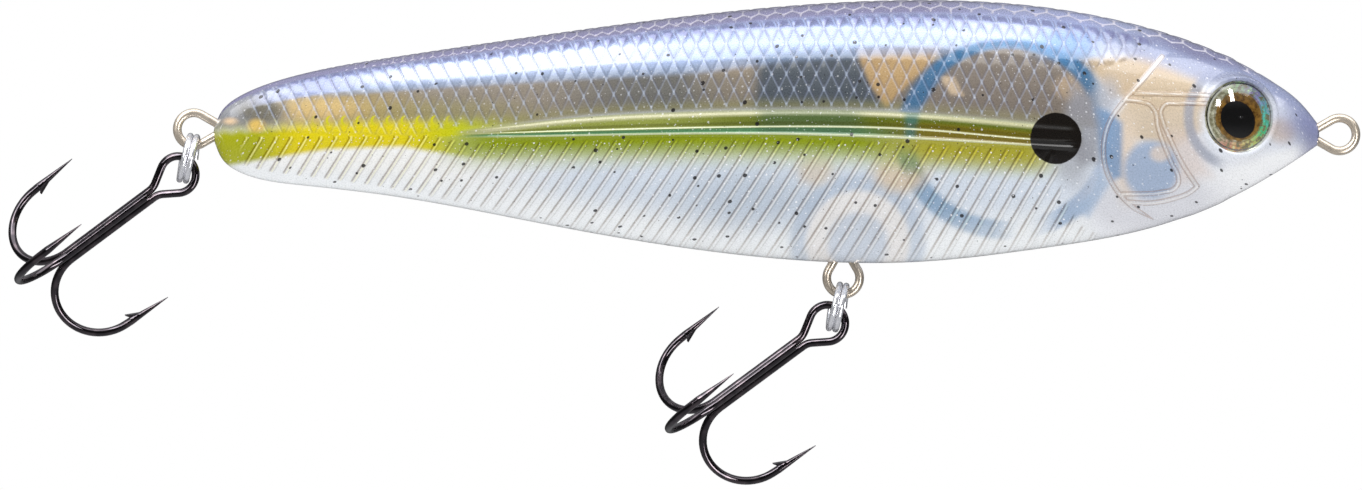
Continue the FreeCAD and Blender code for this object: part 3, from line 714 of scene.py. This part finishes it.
def body_skins():
    """The two halves: the relief stands on the plain form, and the left half is the right one mirrored."""
    skin = Skin()
    near = head_marks(skin)
    raised = rib_relief(skin) + line_relief(skin) + scale_relief(skin) + back_relief(skin)
    raised = (raised + head_relief(skin, near)) * skin.shrink[:, None]
    place = np.stack([skin.x, skin.y, skin.z], axis=-1) + skin.normals() * raised[..., None]
    set_eye(skin, place)
    place[:, 0, 1] = place[:, -1, 1] = 0
    ring = np.concatenate([place, inner_wall(skin)], axis=1)
    count_x, count_round = ring.shape[:2]
    rows = skin.x.shape[1]

    def padded(values):
        """Outer values with zeros for the inner wall's vertices."""
        return np.pad(values, [(0, 0), (0, count_round - rows)])

    first, second = scale_numbers(skin)
    numbers = {
        "lattice": (first, second, skin.line),
        "areas": (scale_area(skin), line_area(skin), hex_edge(skin) * back_area(skin)),
        "marks": (near, skin.turn),
        "spot": (skin.x, skin.arc, across_rib(skin)),
    }
    shade = np.ones((count_x, count_round, 4), np.float32)
    shade[..., :3] = linear(*INNER_WALL_COAT)
    shade[:, :rows, :3] = paint(skin)
    for word, side in (("right", 1), ("left", -1)):
        vertices = (ring * (1, side, 1)).reshape(-1, 3) * MM
        faces = ring_faces(count_x, count_round, side < 0)
        piece = object_from(word + "_body_skin", vertices.tolist(), faces, "lure_body",
                            [word + "_body_shell"])
        for name, values in numbers.items():
            store(piece.data, name, *map(padded, values))
        layer = piece.data.attributes.new("paint", "FLOAT_COLOR", "POINT")
        layer.data.foreach_set("color", shade.ravel())
        piece.data.materials.append(skin_material(word))


# ---------------------------------------------------------------- materials

class Value:
    """A number inside a node tree that adds, multiplies and compares like any other."""

    def __init__(self, tree, socket):
        self.tree = tree
        self.socket = socket

    def math(self, operation, *others):
        node = self.tree.nodes.new("ShaderNodeMath")
        node.operation = operation
        for socket, value in zip(node.inputs, (self, *others)):
            plug(value, socket)
        return Value(self.tree, node.outputs[0])

    def __add__(self, other):
        return self.math("ADD", other)

    def __sub__(self, other):
        return self.math("SUBTRACT", other)

    def __mul__(self, other):
        return self.math("MULTIPLY", other)

    def __truediv__(self, other):
        return self.math("DIVIDE", other)

    __radd__ = __add__
    __rmul__ = __mul__

    def __rsub__(self, other):
        return (self * -1) + other

    def size(self):
        """The value without its sign."""
        return self.math("ABSOLUTE")

    def to_whole(self):
        """Signed distance to the nearest whole number."""
        return self - self.math("ROUND")

    def step(self, low, high):
        """0 up to low and 1 from high on, or the other way round if low is the larger."""
        node = self.tree.nodes.new("ShaderNodeMapRange")
        node.interpolation_type = "SMOOTHSTEP"
        rising = high > low
        set_inputs(node, Value=self, From_Min=min(low, high), From_Max=max(low, high),
                   To_Min=0 if rising else 1, To_Max=1 if rising else 0)
        return Value(self.tree, node.outputs["Result"])

    def larger(self, other):
        return self.math("MAXIMUM", other)


def plug(value, socket):
    """Gives a socket a Value, another socket or a plain number."""
    if isinstance(value, Value):
        value = value.socket
    if isinstance(value, bpy.types.NodeSocket):
        socket.id_data.links.new(value, socket)
    else:
        socket.default_value = value


def distance(across, up):
    """How far a place is from a centre, from how far it is across and up."""
    return (across * across + up * up).math("SQRT")


def off_whole(lattice):
    """How far, in millimetres, a place is from the nearest of the scales' lines."""
    return lattice.to_whole().size() / SCALE_SLOPE


def new_material(name):
    """A material with its node tree and its Principled shader."""
    material = bpy.data.materials.new(name)
    material.use_nodes = True
    tree = material.node_tree
    shader = tree.nodes["Principled BSDF"]
    return material, tree, shader


def set_inputs(node, **values):
    """Fills a node's inputs by their names, with _ for a space."""
    for name, value in values.items():
        plug(value, node.inputs[name.replace("_", " ")])


def rgba(*shade):
    """A screen colour as the four numbers that a colour socket takes."""
    return (*linear(*shade), 1)


def mix(amount, under, over, blend="MIX"):
    """The under colour covered by the over colour as far as amount says."""
    tree = next(value.tree for value in (amount, over) if isinstance(value, Value))
    node = tree.nodes.new("ShaderNodeMix")
    node.data_type = "RGBA"
    node.blend_type = blend
    plug(amount, node.inputs["Factor"])
    plug(under, node.inputs[6])
    plug(over, node.inputs[7])
    return node.outputs[2]


def three_numbers(tree, name):
    """A stored vertex attribute's three numbers."""
    source = tree.nodes.new("ShaderNodeAttribute")
    source.attribute_name = name
    split = tree.nodes.new("ShaderNodeSeparateXYZ")
    tree.links.new(source.outputs["Vector"], split.inputs[0])
    return [Value(tree, output) for output in split.outputs]


def object_place(tree):
    """The place on the object, in millimetres."""
    source = tree.nodes.new("ShaderNodeTexCoord")
    split = tree.nodes.new("ShaderNodeSeparateXYZ")
    tree.links.new(source.outputs["Object"], split.inputs[0])
    return [Value(tree, output) / MM for output in split.outputs]


def joined_vector(x, y, z=0.0):
    """One vector from three numbers."""
    node = x.tree.nodes.new("ShaderNodeCombineXYZ")
    for socket, value in zip(node.inputs, (x, y, z)):
        plug(value, socket)
    return node.outputs[0]


def noise(vector, scale, detail=2.0, rough=0.5):
    """Cloudy noise, mostly between 0.3 and 0.7."""
    tree = vector.id_data
    node = tree.nodes.new("ShaderNodeTexNoise")
    set_inputs(node, Vector=vector, Scale=scale, Detail=detail, Roughness=rough)
    return Value(tree, node.outputs["Fac"])


def dots(vector, scale, share, low, high):
    """Round spots: about this share of the cells has one, with a radius from low to high millimetres."""
    tree = vector.id_data
    node = tree.nodes.new("ShaderNodeTexVoronoi")
    node.voronoi_dimensions = "2D"
    set_inputs(node, Vector=vector, Scale=scale)
    split = tree.nodes.new("ShaderNodeSeparateColor")
    tree.links.new(node.outputs["Color"], split.inputs[0])
    chosen = Value(tree, split.outputs[0]).math("LESS_THAN", share)
    radius = Value(tree, split.outputs[1]) * (high - low) + low
    reach = Value(tree, node.outputs["Distance"]) / scale
    return (radius - reach).step(-0.02, 0.03) * chosen


def bump(height, depth):
    """Fine relief that is shaded, not modelled: depth is how many metres a height of 1 stands for."""
    node = height.tree.nodes.new("ShaderNodeBump")
    set_inputs(node, Distance=depth, Height=height)
    return node.outputs["Normal"]


DOT = (-32.4, -0.5)
DOT_RADIUS = 2.93
MOON_LEVEL = 1.55
SCALE_SLOPE = math.hypot(1 / SCALE_WIDE, 1 / SCALE_TALL)
PUPIL_TURN = math.radians(-40)
RAINBOW = [
    (0.0, (214, 206, 150)), (0.16, (255, 90, 100)), (0.27, (252, 232, 80)), (0.38, (70, 226, 160)),
    (0.5, (110, 236, 244)), (0.62, (176, 150, 244)), (0.75, (150, 230, 120)), (1.0, (230, 214, 120)),
]


class SkinLook:
    """The painted skin's node tree: what it reads from the mesh, and its colour and fine relief so far."""

    def __init__(self, tree):
        self.x, _, self.z = object_place(tree)
        self.first, self.second, self.line = three_numbers(tree, "lattice")
        self.scales, self.lines, self.hexes = three_numbers(tree, "areas")
        self.near, self.turn, _ = three_numbers(tree, "marks")
        self.skin_x, arc, self.rib = three_numbers(tree, "spot")
        self.flat = joined_vector(self.skin_x, arc)
        self.grain = noise(self.flat, 5.0, 3.0, 0.6)
        self.cloud = noise(self.flat, 0.35, 2.0)
        self.shoulder = self.turn.step(0.60, 0.76)
        self.rear = self.skin_x.step(-98, -106)
        source = tree.nodes.new("ShaderNodeAttribute")
        source.attribute_name = "paint"
        speckle = (self.grain * 0.34 + 0.83) * (self.cloud * 0.12 + 0.94)
        self.colour = mix(1.0, source.outputs["Color"], speckle, "MULTIPLY")
        self.height = self.grain * 0.006

    def cover(self, amount, shade, blend="MIX"):
        """Covers the colour with a shade as far as amount says."""
        self.colour = mix(amount, self.colour, rgba(*shade), blend)

    def scale_net(self):
        """Thin threads where the scales meet, painted pale on the flank and dark across the pearl shoulder as
        they catch or miss the light, a soft painted shadow beside each and a painted spark where they cross.
        """
        near_first, near_second = off_whole(self.first), off_whole(self.second)
        fade = self.skin_x.step(-116, -58) * 0.65 + 0.25
        net = near_first.step(0.15, 0.04).larger(near_second.step(0.15, 0.04) * fade) * self.scales
        shadow = off_whole(self.first - 0.11).step(0.16, 0.03)
        shadow = shadow.larger(off_whole(self.second + 0.11).step(0.16, 0.03) * 0.8) * self.scales
        # Painted shadow beside each thread.
        self.cover(shadow * 0.22, (84, 84, 104))
        # Painted light on the threads: pale off the shoulder, or yellow in the rear stripe, dark across the
        # shoulder's highlight and darker still near the back.
        in_yellow = self.z.step(2.1, 1.3) * self.rear
        thread = mix(in_yellow, rgba(176, 190, 222), rgba(246, 240, 150))
        strength = net * (1 - self.shoulder) * (self.rear * 0.16 + 0.19)
        self.colour = mix(strength, self.colour, thread)
        self.cover(net * self.shoulder * 0.45, (146, 146, 176))
        self.cover(net * self.turn.step(0.78, 0.98) * 0.5, (112, 112, 150))
        # Painted spark where threads meet.
        crossing = (near_first + near_second).step(0.34, 0.10) * self.scales
        self.cover(crossing * 0.26, (220, 234, 255))
        self.height += net * 0.035

    def raised_lines(self):
        """A painted highlight on the crest of each line below the rib, and painted shade in a darker groove
        on both sides of it.
        """
        across = self.line.to_whole() * LINE_PITCH
        crest = across.size().step(0.16, 0.05) * self.lines
        groove = (across + 0.26).size().step(0.15, 0.04) * self.lines
        fore_groove = (across - 0.24).size().step(0.11, 0.03) * self.lines
        # Painted shade in the grooves and a painted highlight on the crest, yellower at the rear.
        self.cover(groove * 0.65, (168, 150, 136), "MULTIPLY")
        self.cover(fore_groove * 0.30, (184, 166, 150), "MULTIPLY")
        self.cover(crest * 0.55, (244, 238, 226), "OVERLAY")
        self.cover(crest * self.rear * 0.40, (250, 244, 190))
        self.height += crest * 0.04 - groove * 0.05 - fore_groove * 0.03

    def back_scales(self):
        """Painted shadows in the notches between the top row of side scales, and the pale outlines of the
        back's scales.
        """
        # Painted shadow in the notches where the top row of side scales meets the back.
        between = (self.first - 0.5).to_whole().size().step(0.40, 0.22)
        notch_shadow = between * self.turn.step(0.92, 1.02) * self.turn.step(1.15, 1.08)
        self.cover(notch_shadow * self.scales * 0.8, (112, 114, 156))
        outline = self.hexes.step(0.66, 0.92)
        self.cover(outline * 0.85, (214, 210, 224))
        self.height += outline * 0.03

    def head_lines(self):
        """The gill cover's and cheek's lines: pale, partly as a painted highlight, wider at the top, with a
        brown edge that is partly painted shadow.
        """
        bead = self.near.step(0.14, 0.04)
        brown_edge_and_shade = (self.near - 0.23).size().step(0.09, 0.02)
        # Pale beads, partly painted highlight, and a brown edge that is brown tint and painted shadow.
        self.cover(bead * 0.55, (244, 238, 232))
        self.cover(self.near.step(0.42, 0.20) * self.z.step(4.6, 6.6) * 0.7, (250, 250, 252))
        self.cover(brown_edge_and_shade * 0.42, (172, 134, 108))
        self.height += bead * 0.04 - brown_edge_and_shade * 0.05

    def rib_edges(self):
        """The rib's crease and lip painted pale as highlights, with a painted shade line above the crease.
        Returns the painted highlight lines.
        """
        rear_end, front_end = RIB_ENDS
        on_rib = self.skin_x.step(rear_end, rear_end + 13) * (self.x - front_end).step(0.0, -1.0)
        crease = (self.rib - 1.04).size().step(0.13, 0.04) * on_rib
        lip = (self.rib - 2.12).size().step(0.32, 0.10) * on_rib
        # Painted highlights along the crease and the lip, and a painted shade line on the downward facet
        # above the crease.
        self.cover(crease * 0.75, (232, 236, 196))
        self.cover((self.rib - 0.80).size().step(0.18, 0.05) * on_rib * 0.45, (70, 72, 22))
        self.cover(lip * 0.6, (236, 240, 200))
        return crease.larger(lip)

    def round_dot(self):
        """The dark dot behind the gill cover, with a slightly uneven edge. Returns its area."""
        uneven = noise(self.flat, 1.5, 2.0) * 0.12
        reach = distance(self.x - DOT[0], self.z - DOT[1]) + uneven
        dot = reach.step(DOT_RADIUS + 0.10, DOT_RADIUS - 0.02)
        self.cover(dot, (22, 17, 12))
        return dot

    def tail_moons(self):
        """A row of yellow half moons in the scales above the rear stripe."""
        along = (self.x / SCALE_WIDE + 0.4).to_whole() * SCALE_WIDE
        up = self.z - MOON_LEVEL
        moon = distance(along, up).step(0.62, 0.5)
        bite = distance(along - 0.32, up).step(0.52, 0.64)
        row = self.skin_x.step(-117, -116) * self.skin_x.step(-99, -103)
        self.cover(moon * bite * row * 0.9, (206, 200, 30))

    def flecks(self, painted_highlight_lines, dot):
        """Black pepper in two sizes, and silver glitter, with extra specks as painted glints along the rib's
        painted highlight lines.
        """
        pepper = dots(self.flat, 0.34, 0.50, 0.13, 0.26)
        pepper = pepper.larger(dots(self.flat, 0.8, 0.16, 0.03, 0.08))
        glitter = dots(self.flat, 1.1, 0.42, 0.04, 0.12)
        glitter = glitter.larger(dots(self.flat, 2.3, 0.22, 0.03, 0.06))
        # Painted glints: extra white specks along the rib's painted highlight lines.
        rib_glint_specks = dots(self.flat, 2.9, 0.8, 0.05, 0.12)
        glitter = glitter.larger(rib_glint_specks * (painted_highlight_lines - 0.2) * self.cloud.step(0.42, 0.55))
        self.cover(pepper * 0.92, (26, 22, 26))
        strength = 0.5 - self.scales * 0.2 + self.lines * 0.4
        self.cover(glitter * strength * (1 - dot), (252, 252, 255))
        self.height += glitter * 0.01

    def pearl(self):
        """How metallic the shoulder's pearl is: more behind the head, and less at the tail."""
        strength = 0.04 + self.skin_x.step(-27, -38) * 0.30
        return self.shoulder * strength * (self.skin_x.step(-122, -108) * 0.6 + 0.4)


def skin_material(side):
    """Sprayed pearl paint, partly a painted highlight band, with the moulded lines picked out in painted
    light and shade, and flecks, under clear lacquer.
    """
    material, tree, shader = new_material(side + "_sprayed_skin")
    look = SkinLook(tree)
    look.scale_net()
    look.raised_lines()
    look.back_scales()
    look.head_lines()
    painted_highlight_lines = look.rib_edges()
    dot = look.round_dot()
    look.tail_moons()
    look.flecks(painted_highlight_lines, dot)
    set_inputs(shader, Base_Color=look.colour, Normal=bump(look.height, MM),
               Roughness=look.grain * 0.16 + 0.20, Metallic=(1 - dot) * (look.pearl() + 0.05),
               Specular_IOR_Level=0.25, Coat_Weight=1.0, Coat_Roughness=0.07, Coat_IOR=1.5)
    return material


def metal_surface(name, grain_scale, grain_depth):
    """A material with one noise for the unevenness of a polished metal, which also stands as fine relief."""
    material, tree, shader = new_material(name)
    spots = noise(joined_vector(*object_place(tree)), grain_scale, 1.5, 0.4)
    set_inputs(shader, Normal=bump(spots, grain_depth * MM))
    return material, shader, spots


def steel(name, shade, rough, grain_scale, grain_depth):
    """Bare metal, slightly lighter in spots."""
    material, shader, spots = metal_surface(name, grain_scale, grain_depth)
    lighter = [min(255, part * 1.12) for part in shade]
    colour = mix(spots, rgba(*shade), rgba(*lighter))
    set_inputs(shader, Base_Color=colour, Roughness=spots * 0.14 + rough, Metallic=0.75)
    return material


def black_nickel():
    """The hooks' dark purple-black plating under a clear gloss."""
    material, shader, spots = metal_surface("black_nickel_plate", 0.9, 0.003)
    colour = mix(spots.step(0.4, 0.7), rgba(44, 36, 44), rgba(84, 72, 78))
    set_inputs(shader, Base_Color=colour, Roughness=spots * 0.12 + 0.06,
               Metallic=1.0, Coat_Weight=1.0, Coat_Roughness=0.05)
    return material


def eye_place(tree):
    """A place on the eye's disc from its centre: forward, up and straight out to it."""
    x, _, z = object_place(tree)
    fore = (x - EYE[0]) / math.cos(EYE_YAW)
    up = z - EYE[2]
    return fore, up, distance(fore, up)


def rainbow(tree, place):
    """Foil colours that follow one another as place goes from 0 to 1."""
    node = tree.nodes.new("ShaderNodeValToRGB")
    ramp = node.color_ramp
    while len(ramp.elements) < len(RAINBOW):
        ramp.elements.new(0.5)
    for element, (position, shade) in zip(ramp.elements, RAINBOW):
        element.position = position
        element.color = rgba(*shade)
    plug(place, node.inputs["Fac"])
    return node.outputs["Color"]


def eye_foil(side):
    """A printed disc: slanted black pupil, brown-gold iris and a silver ring with foil colours, with a pale
    arc painted on as the reflection of the lens's rim.
    """
    material, tree, shader = new_material("eye_foil_print_" + side)
    fore, up, reach = eye_place(tree)
    angle = up.math("ARCTAN2", fore)
    blotch = noise(joined_vector(fore, up), 1.3, 4.0, 0.65)
    streak = noise(joined_vector(angle * 2.4, reach * 0.8), 2.0, 3.0, 0.6)

    hues = rainbow(tree, (angle / (2 * math.pi) + streak * 0.55 + 0.18).math("FRACT"))
    bright_side = (fore * 0.75 + up * 0.2 + 1.2).step(0.0, 3.2).larger((up + 2.0).step(0.0, -1.6) * 0.6)
    silver = mix(streak.step(0.38, 0.62), rgba(146, 142, 116), rgba(222, 220, 204))
    silver = mix(bright_side * streak.step(0.40, 0.52) * 0.95, silver, hues)
    silver = mix(streak.step(0.60, 0.72) * 0.8, silver, rgba(255, 255, 252))
    silver = mix((reach - 3.30).size().step(0.09, 0.03) * 0.35, silver, rgba(110, 104, 80))
    gold = mix(blotch.step(0.35, 0.65), rgba(70, 44, 12), rgba(158, 116, 50))
    gold = mix(reach.step(2.1, 2.8) * 0.3, gold, rgba(176, 144, 88))
    colour = mix((reach + streak * 0.25).step(2.98, 2.82), silver, gold)
    # Painted reflection: a pale arc near the lens's rim on its rear side.
    arc = (reach - 3.62).size().step(0.16, 0.05) * (fore * 0.9 - up * 0.3 + 1.6).step(0.4, -0.8)
    colour = mix(arc * 0.8, colour, rgba(250, 252, 252))
    colour = mix((reach - 2.86).size().step(0.14, 0.04) * 0.5, colour, rgba(84, 66, 34))

    cosine, sine = math.cos(PUPIL_TURN), math.sin(PUPIL_TURN)
    ahead, above = fore + 0.08, up + 0.33
    short_way = (ahead * cosine - above * sine) / 1.95
    long_way = (ahead * sine + above * cosine) / 2.25
    pupil = distance(short_way, long_way).step(1.02, 0.97)
    set_inputs(shader, Base_Color=mix(pupil, colour, rgba(9, 8, 10)), Metallic=(1 - pupil) * 0.15,
               Roughness=blotch * 0.2 + 0.25, Normal=bump(blotch + streak, 0.03 * MM), Specular_IOR_Level=0.0)
    return material


def clear_lens():
    """Clear resin over the foil: see-through, with a faint mirror that shows the windows."""
    material, tree, shader = new_material("clear_eye_resin")
    _, _, reach = eye_place(tree)
    waves = noise(joined_vector(*object_place(tree)), 0.8, 2.0)
    mirror = tree.nodes.new("ShaderNodeBsdfGlossy")
    set_inputs(mirror, Color=(1, 1, 1, 1), Roughness=waves * 0.05)
    through = tree.nodes.new("ShaderNodeBsdfTransparent")
    wall = (reach - 3.80).size().step(0.10, 0.03)
    set_inputs(through, Color=mix(wall * 0.85, rgba(252, 252, 248), rgba(112, 108, 88)))
    both = tree.nodes.new("ShaderNodeMixShader")
    plug(wall * 0.15 + 0.06, both.inputs["Fac"])
    tree.links.new(through.outputs[0], both.inputs[1])
    tree.links.new(mirror.outputs[0], both.inputs[2])
    tree.links.new(both.outputs[0], tree.nodes["Material Output"].inputs["Surface"])
    tree.nodes.remove(shader)
    return material


def dress(names, material):
    """Gives a material to CAD pieces that keep their own shape."""
    for name in names:
        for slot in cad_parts[name].material_slots:
            slot.material = material


def dress_cad_pieces():
    """Materials for the wires, rings, hooks, weights, ball and eyes."""
    bright_wire = steel("bright_wire", (200, 188, 172), 0.24, 1.2, 0.0015)
    nickel = steel("nickel_ring", (220, 220, 224), 0.10, 1.2, 0.0015)
    plate = black_nickel()
    ballast = steel("grey_ballast", (118, 118, 122), 0.38, 3.0, 0.05)
    dress(["nose_line_tie", "belly_hook_hanger", "tail_hook_hanger"], bright_wire)
    dress(["belly_split_ring", "tail_split_ring"], nickel)
    dress(["belly_treble_double", "belly_treble_single", "tail_treble_double", "tail_treble_single"], plate)
    dress(["head_ballast_weight", "middle_ballast_weight", "tail_ballast_weight"], ballast)
    dress(["rattle_ball"], steel("rattle_steel", (200, 202, 206), 0.10, 5.0, 0.005))
    dress(["right_eye_foil"], eye_foil("right"))
    dress(["left_eye_foil"], eye_foil("left"))
    dress(["right_eye_dome", "left_eye_dome"], clear_lens())


# ---------------------------------------------------------------- floor, light and camera

PICTURE_WIDE = 154.77
LOOK_AT = (-74.83, -12.56)
LENS, SENSOR = 500.0, 36.0

# Metres from here on.
FLOOR_GAP = 0.045
FLOOR_RADIUS = 2.5
VIEW_MIDDLE = Vector((LOOK_AT[0] * MM, 0, 0))

# Lamps that light only the eyes' lenses: which way each one is, and its width and height.
WINDOW_REACH = 0.5
WINDOW_WATTS_PER_SQUARE_METRE = 60
EYE_WINDOWS = {
    "tall_window": ((0.30, -0.73, 0.61), (0.07, 0.20)),
    "small_window": ((-0.08, -0.905, 0.41), (0.07, 0.11)),
}
# Lamps that light only the wires and hooks: which way each one is.
STRIP_REACH = 0.6
STRIP_SIZE = (0.14, 0.5)
STRIP_WATTS = 2.4
WIRE_STRIPS = {"left_strip": (-0.54, -0.62, 0.54), "low_strip": (0.45, -0.8, -0.35)}


def floor():
    """A pale round table top below the hooks' swing."""
    low, high = cad_box
    centre = (low + high) / 2
    bpy.ops.mesh.primitive_circle_add(vertices=128, radius=FLOOR_RADIUS, fill_type="NGON",
                                      location=(centre.x, 0, low.z - FLOOR_GAP))
    piece = bpy.context.object
    piece.name = "floor"
    material, tree, shader = new_material("pale_table")
    cloud = noise(tree.nodes.new("ShaderNodeTexCoord").outputs["Object"], 30.0, 3.0)
    colour = mix(cloud, rgba(238, 238, 240), rgba(246, 246, 246))
    set_inputs(shader, Base_Color=colour, Roughness=cloud * 0.1 + 0.5)
    piece.data.materials.append(material)
    piece.visible_glossy = False


def area_light(name, aim, offset, size, energy, mirrored=True, only=()):
    """A rectangular lamp at an offset from its aim, which may light only some pieces."""
    lamp = bpy.data.lights.new(name, "AREA")
    lamp.shape = "RECTANGLE"
    lamp.size, lamp.size_y = size
    lamp.energy = energy
    holder = bpy.data.objects.new(name, lamp)
    holder.location = aim + offset
    holder.rotation_euler = (-offset).to_track_quat("-Z", "Y").to_euler()
    holder.visible_camera = False
    holder.visible_glossy = mirrored
    if only:
        lit = bpy.data.collections.new(name + "_lights")
        for piece in only:
            lit.objects.link(piece)
        holder.light_linking.receiver_collection = lit
    bpy.context.collection.objects.link(holder)


def lights():
    """A wide softbox overhead, a fill that no mirror shows, and the lamps for the lenses and wires."""
    area_light("overhead_softbox", VIEW_MIDDLE, Vector((0, -0.20, 0.50)), (1.3, 0.42), 4.5)
    area_light("front_fill", VIEW_MIDDLE, Vector((-0.1, -0.9, -0.05)), (1.2, 0.5), 0.8, mirrored=False)
    eye = Vector((EYE[0], -EYE[1], EYE[2])) * MM
    domes = [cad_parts[side + "_eye_dome"] for side in ("right", "left")]
    for name, (towards, size) in EYE_WINDOWS.items():
        energy = WINDOW_WATTS_PER_SQUARE_METRE * size[0] * size[1]
        area_light(name, eye, WINDOW_REACH * Vector(towards), size, energy, only=domes)
    endings = ("_ring", "_double", "_single", "_hanger", "_line_tie")
    wires = [node for name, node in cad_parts.items() if name.endswith(endings)]
    for name, towards in WIRE_STRIPS.items():
        area_light(name, VIEW_MIDDLE, STRIP_REACH * Vector(towards), STRIP_SIZE, STRIP_WATTS, only=wires)


def studio_world():
    """White where the camera looks past the lure. Mirrors see a cool glow above and below, with a dim band
    at eye level, and matt surfaces get an even light."""
    world = bpy.data.worlds.new("studio")
    world.use_nodes = True
    tree = world.node_tree
    tree.nodes.clear()
    rays = tree.nodes.new("ShaderNodeLightPath")
    seen = tree.nodes.new("ShaderNodeBackground")
    set_inputs(seen, Color=(1, 1, 1, 1))
    glow = tree.nodes.new("ShaderNodeBackground")
    split = tree.nodes.new("ShaderNodeSeparateXYZ")
    tree.links.new(tree.nodes.new("ShaderNodeTexCoord").outputs["Generated"], split.inputs[0])
    up = Value(tree, split.outputs[2])
    mirrored = up.step(0.15, 0.95) * 0.55 + up.step(-0.1, -0.8) * 0.35 + 0.06
    spread = Value(tree, rays.outputs["Is Diffuse Ray"])
    set_inputs(glow, Color=(0.95, 0.97, 1.0, 1), Strength=spread * (0.66 - mirrored) + mirrored)
    both = tree.nodes.new("ShaderNodeMixShader")
    output = tree.nodes.new("ShaderNodeOutputWorld")
    tree.links.new(rays.outputs["Is Camera Ray"], both.inputs["Fac"])
    tree.links.new(glow.outputs[0], both.inputs[1])
    tree.links.new(seen.outputs[0], both.inputs[2])
    tree.links.new(both.outputs[0], output.inputs["Surface"])
    bpy.context.scene.world = world


def camera():
    """Straight at the right side from far off, as wide as the photograph's view."""
    data = bpy.data.cameras.new("camera")
    data.lens, data.sensor_width = LENS, SENSOR
    holder = bpy.data.objects.new("camera", data)
    reach = PICTURE_WIDE * MM * LENS / SENSOR
    holder.location = (LOOK_AT[0] * MM, -reach, LOOK_AT[1] * MM)
    holder.rotation_euler = (math.radians(90), 0, 0)
    bpy.context.collection.objects.link(holder)
    bpy.context.scene.camera = holder
    bpy.context.scene.view_settings.view_transform = "Standard"


body_skins()
dress_cad_pieces()
floor()
lights()
studio_world()
camera()
